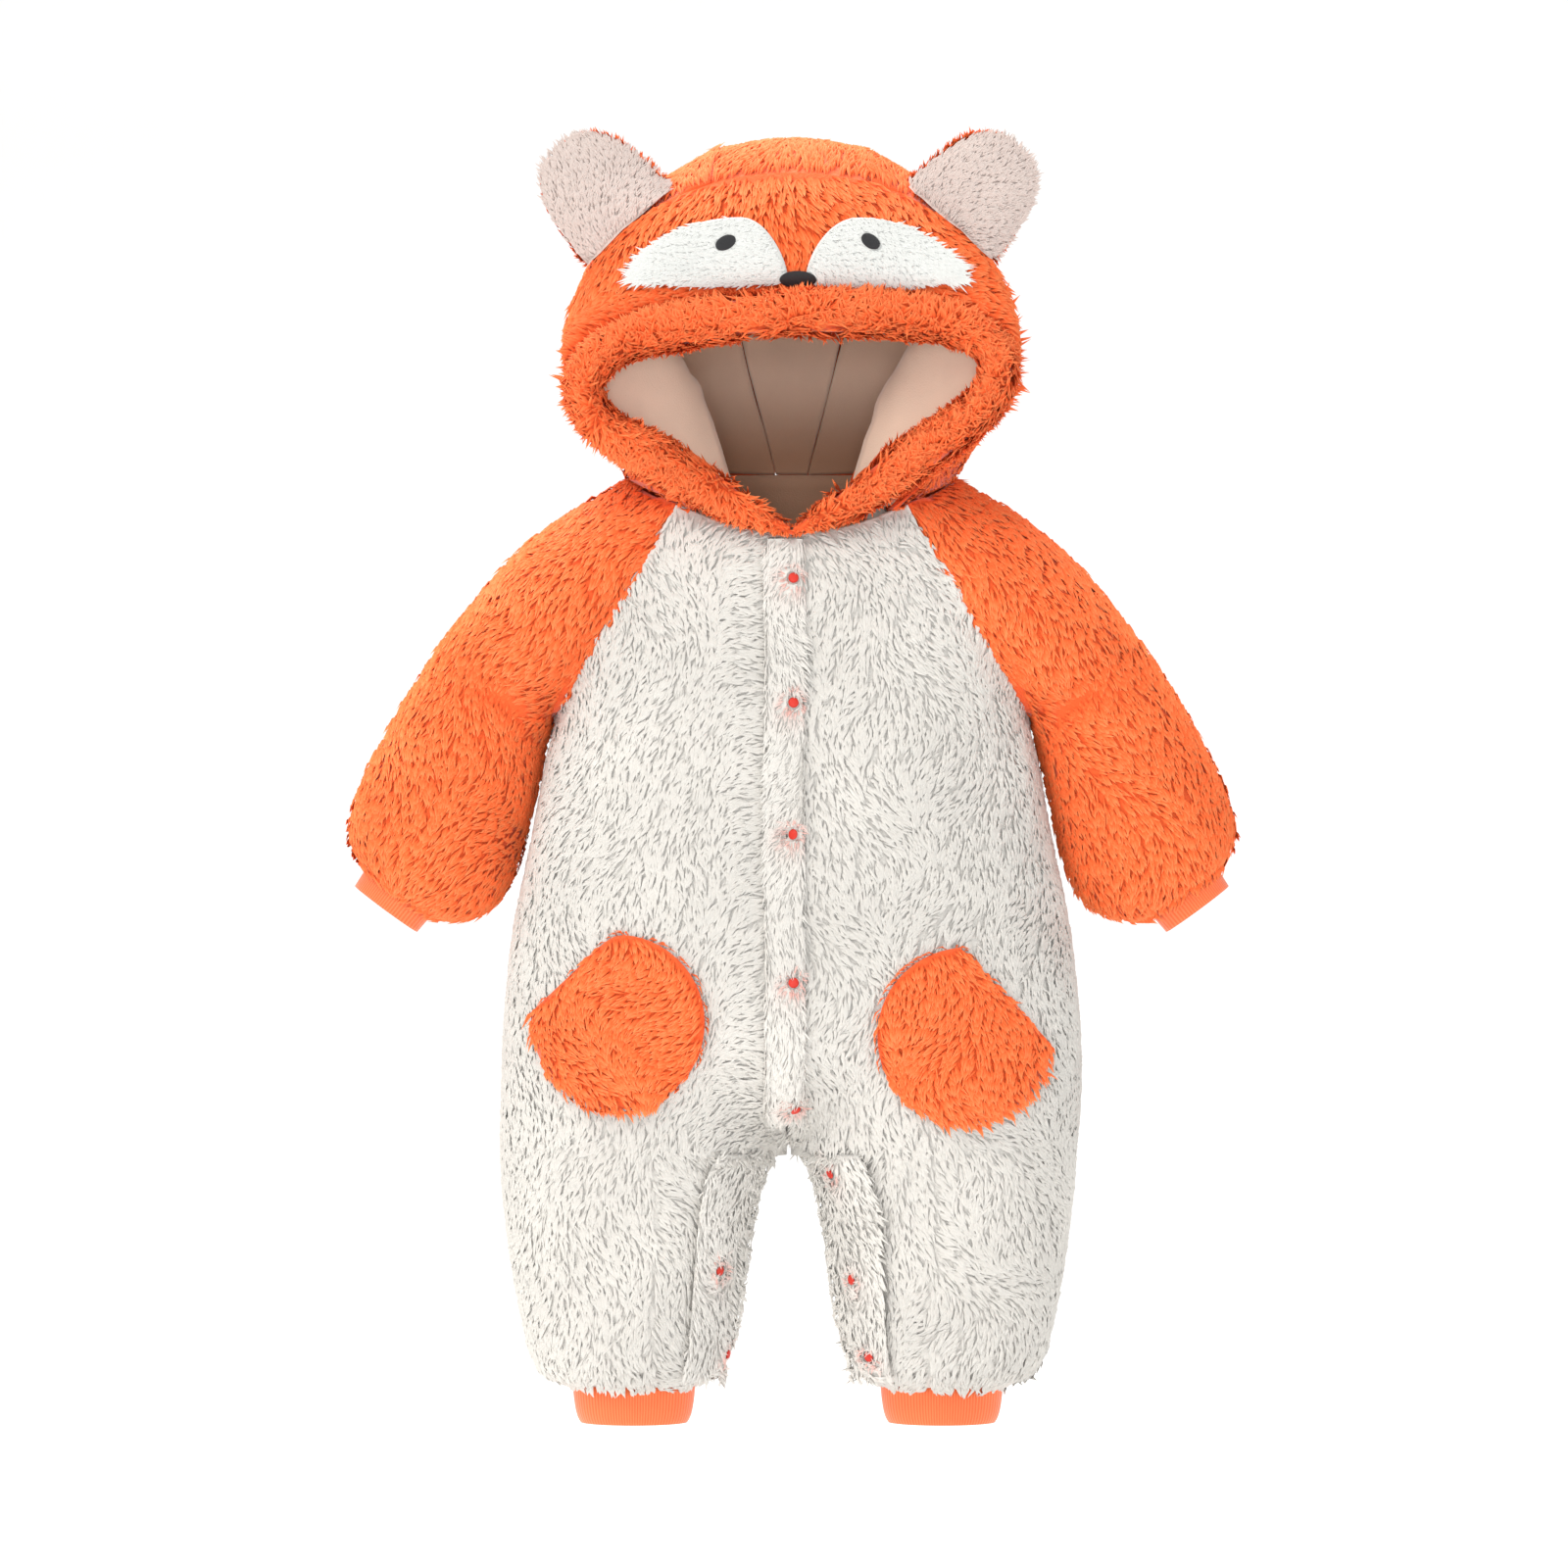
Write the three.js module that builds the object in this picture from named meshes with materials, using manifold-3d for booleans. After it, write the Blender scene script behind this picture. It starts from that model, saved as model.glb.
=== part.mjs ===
// A baby's hooded fox romper in long-pile plush, filled out as it is when worn, with no wearer.
//
// The garment faces -Y and stands upright in +Z. X runs to the viewer's right. The origin is the middle
// of the neck at the height where the shoulders carry it. Sizes are millimetres.
//
// It is built as it is sewn: two fronts and two backs that each run from the neck to the ankle, raglan
// sleeves, knitted cuffs, a hood of five plush panels round a lined face opening, ears, a face in
// applique, patch pockets, and a snap placket down the front and along both inseams. Every panel is
// a wall between an outer grid of points, which is the tips of the lying pile, and an inner grid.

import * as THREE from "three";
import { mergeVertices } from "three/addons/utils/BufferGeometryUtils.js";
import Module from "manifold-3d";

// Cloth
const PLUSH = 8; // lying pile, backing and wadding together
const KNIT = 2.5; // doubled cuff jersey
const LINING = 2; // brushed lining
const APPLIQUE = 1.6; // short-pile patches and embroidery
const PATCH = 4; // pocket plush above the panel
const HALF_SEAM = 0.2; // each edge stands back this far from its seam line
const LIFT = 0.9; // clear height of what lies on a panel
const PILLOW = 3; // how far padded panels rise between their seams

// Heights on the body
const NECK_FRONT = -27;
const RAGLAN_FRONT = -9;
const NECK_BACK = 8;
const UNDERARM = -141;
const CROTCH = -401;
const RISE = 60; // height of the curve from the crotch up to the centre front
const HIP_RISE = 150; // height over which the outer legs run into the hips
const SQUARE = 0.84; // squareness of the body's section, 1 is an ellipse
const LEG_END = -552;
const LEG_SHIFT = -2.4; // the legs stand a little to the viewer's left of the body's middle
const UNDERARM_HALF = 147;

const front = -1;
const back = 1;
const left = -1;
const right = 1;
const sides = [["left", left], ["right", right]];

const finishes = {
  white: { color: 0xf1efec, roughness: 0.95 },
  orange: { color: 0xf0703a, roughness: 0.95 },
  knit: { color: 0xf5764a, roughness: 0.9 },
  lining: { color: 0xc9b29f, roughness: 0.95 },
  ear: { color: 0xeadfd9, roughness: 0.95 },
  patch: { color: 0xf5f7f6, roughness: 0.9 },
  black: { color: 0x17181a, roughness: 0.7 },
  snap: { color: 0xc94a3c, roughness: 0.4 },
};

const vec = (x, y, z) => new THREE.Vector3(x, y, z);
const mix = (a, b, t) => a + (b - a) * t;
const clamp = (x, low, high) => Math.min(high, Math.max(low, x));
const smooth = (x) => {
  const t = clamp(x, 0, 1);
  return t * t * (3 - 2 * t);
};
const signedPower = (x, power) => Math.sign(x) * Math.abs(x) ** power;

// Rows become objects with the columns' names.
const table = (names, rows) =>
  rows.map((row) => Object.fromEntries(names.map((name, k) => [name, row[k]])));

// A column's value at a place along another column, by a curve that never overshoots its rows.
function read(rows, key, name, at) {
  const last = rows.length - 1;
  const step = (k) => rows[k + 1][key] - rows[k][key];
  const slope = (k) => (rows[k + 1][name] - rows[k][name]) / step(k);
  const tangent = (k) => {
    if (k === 0) return slope(0);
    if (k === last) return slope(last - 1);
    const before = slope(k - 1);
    const after = slope(k);
    if (before * after <= 0) return 0;
    const a = 2 * step(k) + step(k - 1);
    const b = step(k) + 2 * step(k - 1);
    return (a + b) / (a / before + b / after);
  };
  if (at <= rows[0][key]) return rows[0][name] + tangent(0) * (at - rows[0][key]);
  if (at >= rows[last][key]) return rows[last][name] + tangent(last) * (at - rows[last][key]);
  let k = 0;
  while (at > rows[k + 1][key]) k += 1;
  const t = (at - rows[k][key]) / step(k);
  const t2 = t * t;
  const t3 = t2 * t;
  return (
    (2 * t3 - 3 * t2 + 1) * rows[k][name] +
    (t3 - 2 * t2 + t) * step(k) * tangent(k) +
    (3 * t2 - 2 * t3) * rows[k + 1][name] +
    (t3 - t2) * step(k) * tangent(k + 1)
  );
}

// A mesh from points and triangles, turned the right way round if it came out inside out.
function meshOf(name, points, triangles, finish) {
  let volume = 0;
  for (const [a, b, c] of triangles) {
    volume += points[a].dot(points[b].clone().cross(points[c]));
  }
  const order = volume < 0 ? ([a, b, c]) => [a, c, b] : (corners) => corners;
  const geometry = new THREE.BufferGeometry();
  const places = points.flatMap((p) => [p.x, p.y, p.z]);
  geometry.setAttribute("position", new THREE.Float32BufferAttribute(places, 3));
  geometry.setIndex(triangles.flatMap(order));
  geometry.computeVertexNormals();
  const mesh = new THREE.Mesh(geometry, new THREE.MeshStandardMaterial(finishes[finish]));
  mesh.name = name;
  return mesh;
}

// The surface's direction square to itself at a place, from points a short way either side of it.
function squareTo(surface, u, v) {
  const near = 1e-3;
  const across = surface(u + near, v).sub(surface(u - near, v));
  const up = surface(u, v + near).sub(surface(u, v - near));
  return across.cross(up).normalize();
}
function normalAt(surface, u, v, away) {
  const n = squareTo(surface, u, v);
  return n.dot(away) < 0 ? n.negate() : n;
}

// A cloth wall over a grid of the surface. Its four edges stand back from their seam lines, and an
// edge's own direction may be given, so that two panels' edges lie side by side through the wall.
function panel(name, finish, surface, options) {
  const { across, up, away, thick = PLUSH, edges = {}, rise = 0 } = options;
  const { normal = (u, v, place) => normalAt(surface, u, v, away(place)) } = options;
  const outer = [];
  const inner = [];
  for (let j = 0; j <= up.length - 1; j += 1) {
    const outerRow = [];
    const innerRow = [];
    for (let i = 0; i <= across.length - 1; i += 1) {
      const u = across[i];
      const v = up[j];
      const place = surface(u, v);
      const given =
        (j === up.length - 1 && edges.top) ||
        (j === 0 && edges.bottom) ||
        (i === 0 && edges.start) ||
        (i === across.length - 1 && edges.end);
      const n = given ? given(u, v) : normal(u, v, place);
      outerRow.push(place.clone().addScaledVector(n, rise));
      innerRow.push(place.clone().addScaledVector(n, rise - thick));
    }
    outer.push(outerRow);
    inner.push(innerRow);
  }
  standBack(outer, inner);
  return wall(name, finish, outer, inner, false);
}

// Moves the edges of both grids along the cloth, away from the seam line.
function standBack(outer, inner) {
  const rows = outer.length;
  const columns = outer[0].length;
  const pull = (j, i, j2, i2) => {
    const step = outer[j2][i2].clone().sub(outer[j][i]).normalize().multiplyScalar(HALF_SEAM);
    outer[j][i].add(step);
    inner[j][i].add(step);
  };
  for (let j = 0; j < rows; j += 1) {
    pull(j, 0, j, 1);
    pull(j, columns - 1, j, columns - 2);
  }
  for (let i = 0; i < columns; i += 1) {
    pull(0, i, 1, i);
    pull(rows - 1, i, rows - 2, i);
  }
}

// The closed solid between two grids of points. A ring joins its last column to its first.
function wall(name, finish, outer, inner, ring) {
  const rows = outer.length;
  const columns = outer[0].length;
  const points = [...outer.flat(), ...inner.flat()];
  const at = (j, i, layer) => layer * rows * columns + j * columns + (i % columns);
  const triangles = [];
  const quad = (a, b, c, d) => triangles.push([a, b, c], [a, c, d]);
  const cells = ring ? columns : columns - 1;
  for (let j = 0; j < rows - 1; j += 1) {
    for (let i = 0; i < cells; i += 1) {
      quad(at(j, i, 0), at(j, i + 1, 0), at(j + 1, i + 1, 0), at(j + 1, i, 0));
      quad(at(j, i, 1), at(j + 1, i, 1), at(j + 1, i + 1, 1), at(j, i + 1, 1));
    }
  }
  for (let i = 0; i < cells; i += 1) {
    quad(at(0, i, 0), at(0, i, 1), at(0, i + 1, 1), at(0, i + 1, 0));
    quad(at(rows - 1, i, 0), at(rows - 1, i + 1, 0), at(rows - 1, i + 1, 1), at(rows - 1, i, 1));
  }
  if (!ring) {
    for (let j = 0; j < rows - 1; j += 1) {
      quad(at(j, 0, 0), at(j + 1, 0, 0), at(j + 1, 0, 1), at(j, 0, 1));
      const end = columns - 1;
      quad(at(j, end, 0), at(j, end, 1), at(j + 1, end, 1), at(j + 1, end, 0));
    }
  }
  return meshOf(name, points, triangles, finish);
}

// A closed piece with a round or free outline: place(share, k) is the point of outline k at that share
// of the way out from the middle, with a height above the base that falls to its rim.
function disc(name, finish, count, shares, top, base) {
  const points = [top(0, 0), base(0, 0)];
  const at = (ring, k, layer) => 2 + (layer * shares.length + ring) * count + (k % count);
  for (const layer of [top, base]) {
    for (const share of shares) {
      for (let k = 0; k < count; k += 1) points.push(layer(share, k));
    }
  }
  const triangles = [];
  for (let k = 0; k < count; k += 1) {
    triangles.push([0, at(0, k, 0), at(0, k + 1, 0)]);
    triangles.push([1, at(0, k + 1, 1), at(0, k, 1)]);
    for (let ring = 0; ring < shares.length - 1; ring += 1) {
      const [a, b, c, d] = [at(ring, k, 0), at(ring + 1, k, 0), at(ring + 1, k + 1, 0), at(ring, k + 1, 0)];
      triangles.push([a, b, c], [a, c, d]);
      const [e, f, g, h] = [at(ring, k, 1), at(ring + 1, k, 1), at(ring + 1, k + 1, 1), at(ring, k + 1, 1)];
      triangles.push([e, g, f], [e, h, g]);
    }
    const rim = shares.length - 1;
    const [a, b, c, d] = [at(rim, k, 0), at(rim, k, 1), at(rim, k + 1, 1), at(rim, k + 1, 0)];
    triangles.push([a, b, c], [a, c, d]);
  }
  return meshOf(name, points, triangles, finish);
}

// Solids that are cut by one another.
const wasm = await Module();
wasm.setup();
function solidOf(mesh) {
  mesh.updateMatrix();
  const geometry = mesh.geometry.clone().applyMatrix4(mesh.matrix);
  geometry.deleteAttribute("normal");
  geometry.deleteAttribute("uv");
  const merged = mergeVertices(geometry, 1e-3);
  return new wasm.Manifold(
    new wasm.Mesh({
      numProp: 3,
      vertProperties: merged.attributes.position.array,
      triVerts: new Uint32Array(merged.index.array),
    }),
  );
}
function meshFrom(solid, name, finish) {
  const { vertProperties, triVerts } = solid.getMesh();
  const geometry = new THREE.BufferGeometry();
  geometry.setAttribute("position", new THREE.BufferAttribute(vertProperties, 3));
  geometry.setIndex(new THREE.BufferAttribute(triVerts, 1));
  geometry.computeVertexNormals();
  const mesh = new THREE.Mesh(geometry, new THREE.MeshStandardMaterial(finishes[finish]));
  mesh.name = name;
  return mesh;
}

// Evenly spaced numbers from low to high.
const steps = (count, low = 0, high = 1) =>
  Array.from({ length: count + 1 }, (_, k) => mix(low, high, k / count));

// The body and legs. half is the half width of the outline from the front, and front and back are the
// depths to each side of the side seam. Below the crotch gap is the half gap between the legs.
const bodySizes = table(
  ["z", "half", "front", "back", "gap"],
  [
    [-552, 135, 29, 27, 56],
    [-549.5, 146, 41, 38, 47.5],
    [-544, 153, 50, 46, 42.5],
    [-530, 160, 57, 53, 38],
    [-510, 166, 62, 58, 34.5],
    [-480, 171.5, 66, 62, 30.5],
    [-450, 175.5, 70, 66, 26.5],
    [-425, 178, 74, 70, 21],
    [-412, 178.6, 76, 73, 15.5],
    [-405, 179, 78, 75, 8.5],
    [CROTCH, 179.3, 79, 76, 0],
    [-360, 180, 94, 88, 0],
    [-327, 178.5, 97, 86, 0],
    [-291, 175, 97, 82, 0],
    [-261, 171, 94, 78, 0],
    [-231, 164, 91, 75, 0],
    [-201, 158, 87, 72, 0],
    [-171, 153, 84, 70, 0],
    [UNDERARM, UNDERARM_HALF, 80, 68, 0],
    [-80, UNDERARM_HALF, 72, 60, 0],
    [-27, UNDERARM_HALF, 64, 53, 0],
    [10, UNDERARM_HALF, 58, 51, 0],
  ],
);

// The largest creases of the worn cloth, seen from the front: soft troughs along a line.
const creases = table(
  ["x", "z", "tilt", "length", "width", "depth"],
  [
    [-112, -486, 12, 60, 11, 4],
    [-96, -515, 24, 42, 9, 3.5],
    [108, -494, -14, 52, 10, 3.5],
    [112, -522, -26, 40, 9, 3],
    [-62, -392, 35, 46, 12, 3.5],
    [58, -396, -38, 44, 12, 3.5],
    [-52, -205, 62, 70, 14, 3],
    [64, -236, -58, 66, 14, 3],
  ],
);

const CUFF_PUCKERS = 7; // gathers round each leg and sleeve end
const PUCKER = 1.8;

function creaseDepth(x, z) {
  let depth = 0;
  for (const crease of creases) {
    const turn = THREE.MathUtils.degToRad(crease.tilt);
    const along = (x - crease.x) * Math.cos(turn) + (z - crease.z) * Math.sin(turn);
    const off = (z - crease.z) * Math.cos(turn) - (x - crease.x) * Math.sin(turn);
    const ends = Math.exp(-((along / (crease.length / 2)) ** 4));
    depth += crease.depth * ends * Math.exp(-((off / crease.width) ** 2));
  }
  return depth;
}

// A point on the body's outer surface. turn runs from 0 at the side seam to 1 at the centre or inseam.
function bodyPoint(side, face, turn, z) {
  const half = read(bodySizes, "z", "half", z);
  const deep = read(bodySizes, "z", face === front ? "front" : "back", z);
  const gap = z > CROTCH ? 0 : read(bodySizes, "z", "gap", z);
  const lift = clamp((z - CROTCH) / mix(HIP_RISE, RISE, turn), 0, 1);
  const share = mix(smooth(lift), Math.sqrt(1 - (1 - lift) ** 2), clamp(turn, 0, 1) ** 8);
  const quarter = (turn * Math.PI) / 2;
  const torso = [half * signedPower(Math.cos(quarter), SQUARE), deep * signedPower(Math.sin(quarter), SQUARE)];
  const middle = (half + gap) / 2;
  const leg = [middle + ((half - gap) / 2) * Math.cos(2 * quarter), deep * Math.sin(2 * quarter)];
  let x = mix(leg[0], torso[0], share);
  let y = face * mix(leg[1], torso[1], share);
  const width = mix(half - gap, half, share) * 1.35;
  const edge = Math.min(Math.abs(turn), Math.abs(1 - turn)) * width;
  let out = PILLOW * (1 - Math.exp(-edge / 12)) * smooth((z - LEG_END) / 12);
  out += PUCKER * Math.cos(turn * Math.PI * CUFF_PUCKERS) * Math.exp(-(((z - LEG_END - 16) / 14) ** 2));
  if (face === front) out -= creaseDepth(side * x, z) * smooth(edge / 20);
  const away = vec(x - mix(middle, 0, share), y, 0).normalize();
  x += away.x * out;
  y += away.y * out;
  const shift = LEG_SHIFT * smooth((-360 - z) / 60);
  return vec(side * x + shift, y, z);
}

// Where the raglan seam crosses the body at a share of its way from the underarm to the neck.
const raglans = {
  [front]: table(
    ["share", "x", "z"],
    [
      [0, UNDERARM_HALF, UNDERARM],
      [0.1, 141, -129],
      [0.2, 134, -115],
      [0.4, 118, -88],
      [0.6, 101, -62],
      [0.8, 84, -35],
      [1, 69, RAGLAN_FRONT],
    ],
  ),
  [back]: table(
    ["share", "x", "z"],
    [
      [0, UNDERARM_HALF, UNDERARM],
      [0.1, 140, -128],
      [0.2, 131, -112],
      [0.4, 112, -81],
      [0.6, 92, -51],
      [0.8, 72, -21],
      [1, 53, NECK_BACK],
    ],
  ),
};
const raglanZ = (face, share) => read(raglans[face], "share", "z", share);
const raglanTurn = (face, share) => {
  const x = read(raglans[face], "share", "x", share);
  return (2 / Math.PI) * Math.acos(Math.min(1, x / UNDERARM_HALF) ** (1 / SQUARE));
};
const raglanPoint = (side, face, share) =>
  bodyPoint(side, face, raglanTurn(face, share), raglanZ(face, share));

// The rows of a body panel, from the ankle up: the heights at its outer and its inner edge, and the
// turn where it starts, which is the side seam up to the underarm and the raglan seam above it.
function bodyRows(face) {
  const heights = [-552, -549, -543, -533, -518, -498, -474, -450, -430, -414, -405];
  const rise = [0, 0.45, 0.75, 0.93, 1].map((w) => CROTCH + RISE * (1 - Math.sqrt(1 - w * w)));
  const trunk = [-315, -286, -256, -226, -198, -172];
  const rows = [...heights, ...rise, ...trunk].map((z) => ({ outer: z, inner: z, share: 0 }));
  const neck = face === front ? NECK_FRONT : NECK_BACK;
  for (const share of [0, 0.12, 0.3, 0.52, 0.76, 1]) {
    rows.push({ outer: raglanZ(face, share), inner: mix(UNDERARM, neck, share), share });
  }
  return rows;
}

// The panel's surface: u from its outer edge to its inner edge, v counts rows.
function bodySurface(side, face) {
  const rows = bodyRows(face);
  const lower = rows.findIndex((row) => row.outer >= UNDERARM);
  return (u, v) => {
    const k = clamp(Math.floor(v), 0, rows.length - 2);
    const t = v - k;
    const a = rows[k];
    const b = rows[k + 1];
    const share = k >= lower ? mix(a.share, b.share, t) : 0;
    const start = share > 0 ? raglanTurn(face, share) : 0;
    const outerZ = mix(a.outer, b.outer, t);
    const innerZ = mix(a.inner, b.inner, t);
    const turn = mix(start, 1, u);
    const z = innerZ + (outerZ - innerZ) * Math.max(0, 1 - u) ** 1.6;
    return bodyPoint(side, face, turn, z);
  };
}

// A sleeve row: its top point s and its underside point i, seen from the front, and its half depth.
// Above the underarm share is the way up the raglan seam, and the underside opens to that seam.
const sleeveSizes = table(
  ["row", "sx", "sz", "ix", "iz", "deep", "share"],
  [
    [0, 264, -230, 222, -261, 19, 0],
    [1, 270, -226, 214, -265.5, 28, 0],
    [2, 274.5, -218, 203, -266, 37, 0],
    [3, 276, -207, 189, -262, 43, 0],
    [4, 273.5, -193, 176.5, -253, 47, 0],
    [5, 266.5, -175, 169.5, -237, 49, 0],
    [6, 256.5, -155, 164.5, -214, 50, 0],
    [7, 244.5, -134, 159, -189, 49, 0],
    [8, 230.5, -111, 153, -164, 46, 0],
    [9, 219, -94, 147, UNDERARM, 41, 0],
    [10, 212, -85, 0, 0, 37, 0.1],
    [11, 204, -75, 0, 0, 32, 0.22],
    [12, 192, -60, 0, 0, 25, 0.36],
    [13, 177, -42, 0, 0, 18, 0.52],
    [14, 158, -24, 0, 0, 11, 0.68],
    [15, 135, -7, 0, 0, 5, 0.84],
    [16, 104, 9, 0, 0, 0, 1],
  ],
);
const ARMHOLE = 9; // the row at the underarm
const armholeSizes = sleeveSizes.slice(ARMHOLE);
const armholeRow = (share) => read(armholeSizes, "share", "row", share);
const SLEEVE_TOP = 16;
const SHOULDER_Y = -4;

// A point on a sleeve: v counts rows from the cuff, and w runs from -1 at the back edge over the top
// to 1 at the front edge.
function sleevePoint(side, w, v) {
  const row = (name) => read(sleeveSizes, "row", name, v);
  const top = vec(side * row("sx"), SHOULDER_Y * smooth((v - ARMHOLE) / 4), row("sz"));
  let under = vec(side * row("ix"), 0, row("iz"));
  let half = vec(0, 0, 0);
  if (v > ARMHOLE) {
    const share = clamp(read(armholeSizes, "row", "share", v), 0, 1.02);
    const f = raglanPoint(side, front, share);
    const b = raglanPoint(side, back, share);
    under = f.clone().add(b).multiplyScalar(0.5);
    half = f.sub(b).multiplyScalar(0.5);
  }
  const angle = Math.PI * w;
  const centre = top.clone().add(under).multiplyScalar(0.5);
  const reach = top.clone().sub(under).multiplyScalar(0.5);
  const pucker = 1 + 0.035 * Math.cos(angle * CUFF_PUCKERS) * Math.exp(-(((v - 2) / 1.3) ** 2));
  const place = centre.addScaledVector(reach, Math.cos(angle) * pucker);
  place.y -= row("deep") * Math.sin(angle) * pucker;
  return place.addScaledVector(half, Math.sin(angle / 2));
}

// The neck seam of one side, from the centre front round the shoulder to the centre back.
const NECK_FRONT_SHARE = 0.3;
const NECK_BACK_SHARE = 0.82;
function neckPoint(side, share) {
  if (share < NECK_FRONT_SHARE) {
    return bodySurface(side, front)(1 - share / NECK_FRONT_SHARE, bodyRows(front).length - 1);
  }
  if (share > NECK_BACK_SHARE) {
    return bodySurface(side, back)((share - NECK_BACK_SHARE) / (1 - NECK_BACK_SHARE), bodyRows(back).length - 1);
  }
  const w = mix(1, -1, (share - NECK_FRONT_SHARE) / (NECK_BACK_SHARE - NECK_FRONT_SHARE));
  return sleevePoint(side, w, SLEEVE_TOP);
}
// All walls that meet at the neck seam are cut square to it, straight out from the neck's middle.
const neckOut = (place) => vec(place.x / 2, place.y + 4, 0).normalize();

// Two walls at a raglan seam share the direction halfway between them.
const NEAR_EDGE = 0.97; // the place round the sleeve, just inside its edge, where its direction is taken
function raglanOut(side, face, share) {
  const body = normalAt(
    (u, v) => bodyPoint(side, face, u, v),
    raglanTurn(face, share),
    raglanZ(face, share),
    vec(side * 0.4, face, 0),
  );
  const sleeve = normalAt(
    (w, row) => sleevePoint(side, w, row),
    -face * NEAR_EDGE,
    armholeRow(share),
    vec(side * 0.3, face, 0.4),
  );
  return body.add(sleeve).normalize();
}

const parts = new THREE.Group();

// Fronts and backs
const acrossBody = [0, 0.06, 0.15, 0.26, 0.37, 0.48, 0.59, 0.7, 0.81, 0.92, 1];
for (const [word, side] of sides) {
  for (const [faceWord, face] of [["front", front], ["back", back]]) {
    const rows = bodyRows(face);
    const surface = bodySurface(side, face);
    const up = rows.map((_, k) => k);
    const outerEdge = (u, v) => {
      const share = rows[v].share;
      if (share > 0) return raglanOut(side, face, share);
      return normalAt(surface, u, v, vec(side, 0, 0));
    };
    // At the middle the wall stands square to the seam or leans away from the other side's panel.
    const innerEdge = (u, v) => {
      const trunk = rows[v].inner > CROTCH;
      const n = normalAt(surface, u, v, trunk ? vec(0, face, 0) : vec(-side, 0, 0));
      if (trunk && n.x * side > 0) n.x = 0;
      return n.normalize();
    };
    parts.add(
      panel(`${faceWord}_${word}`, "white", surface, {
        across: acrossBody,
        up,
        away: (p) => {
          const leg = p.z < CROTCH ? side * 95 : 0;
          return vec(p.x - leg, p.y, p.z < -540 ? -20 : 0);
        },
        edges: {
          start: outerEdge,
          end: innerEdge,
          top: (u, v) => neckOut(surface(u, v)),
        },
      }),
    );
  }
}

// Raglan sleeves, each cut as a back and a front half that meet over the top of the arm and under it
const HALF_ROUND = 10; // cells round each half
const sleeveHalves = {
  back: { face: back, across: steps(HALF_ROUND, -1, 0), underarm: "start" },
  front: { face: front, across: steps(HALF_ROUND, 0, 1), underarm: "end" },
};
const alongSleeve = [0, 1, 2, 3.5, 5, 6.5, 8, 9, 10.2, 11.6, 13, 14.5, SLEEVE_TOP];
const wristMiddle = vec(236, 0, -235);
const shoulderMiddle = vec(90, 0, -20);
function armMiddle(side, z) {
  const share = clamp((z + 262) / 270, 0, 1);
  return wristMiddle.clone().lerp(shoulderMiddle, share).multiply(vec(side, 1, 1));
}
for (const [word, side] of sides) {
  const surface = (w, v) => sleevePoint(side, w, v);
  for (const [half, { face, across, underarm }] of Object.entries(sleeveHalves)) {
    const underEdge = (w, v) => {
      if (v > ARMHOLE) return raglanOut(side, face, read(armholeSizes, "row", "share", v));
      return normalAt(surface, w, v, vec(-side, 0, -0.6));
    };
    parts.add(
      panel(`sleeve_${half}_${word}`, "orange", surface, {
        across,
        up: alongSleeve,
        away: (p) => p.clone().sub(armMiddle(side, p.z)),
        edges: {
          [underarm]: underEdge,
          top: (w, v) => neckOut(surface(w, v)),
        },
      }),
    );
  }
}

// Knitted cuffs: a tube from inside the gathered end, square to the limb.
const CUFF_TUCK = 7; // how far a cuff reaches up inside the end that it is sewn to
const cuffShape = table(
  ["along", "scale", "depth"],
  [
    [-CUFF_TUCK, 0.93, 0.93],
    [0, 1, 1],
    [7, 0.985, 1],
    [15, 0.96, 0.98],
    [21, 0.92, 0.94],
    [24, 0.87, 0.88],
  ],
);
const CUFF_ROUND = 18;
const CUFF_INSET = 0.5; // a cuff is this much smaller than the outline that it is measured from
const ANKLE_LENGTH = 24;
const WRIST_LENGTH = 15;
function cuff(name, limb) {
  const rows = cuffShape.filter((row) => row.along <= limb.length);
  const outer = [];
  const inner = [];
  for (const row of rows) {
    const outerRow = [];
    const innerRow = [];
    for (let k = 0; k < CUFF_ROUND; k += 1) {
      const angle = (2 * Math.PI * k) / CUFF_ROUND;
      const at = (less) =>
        limb.end
          .clone()
          .addScaledVector(limb.down, row.along)
          .addScaledVector(limb.across, Math.cos(angle) * (limb.half * row.scale - less))
          .add(vec(0, Math.sin(angle) * (limb.deep * row.depth - less), 0));
      outerRow.push(at(CUFF_INSET));
      innerRow.push(at(CUFF_INSET + KNIT));
    }
    outer.push(outerRow);
    inner.push(innerRow);
  }
  return wall(name, "knit", outer, inner, true);
}

for (const [word, side] of sides) {
  const last = bodySizes[0];
  parts.add(
    cuff(`ankle_cuff_${word}`, {
      end: vec((side * (last.half + last.gap)) / 2 + LEG_SHIFT, 0, last.z),
      down: vec(0, 0, -1),
      across: vec(1, 0, 0),
      half: (last.half - last.gap) / 2,
      deep: last.back,
      length: ANKLE_LENGTH,
    }),
  );
  const end = sleeveSizes[0];
  const top = vec(side * end.sx, 0, end.sz);
  const under = vec(side * end.ix, 0, end.iz);
  const across = top.clone().sub(under).normalize();
  parts.add(
    cuff(`wrist_cuff_${word}`, {
      end: top.clone().add(under).multiplyScalar(0.5),
      down: vec(side * Math.abs(across.z), 0, -Math.abs(across.x)),
      across,
      half: top.distanceTo(under) / 2,
      deep: end.deep,
      length: WRIST_LENGTH,
    }),
  );
}

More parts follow.
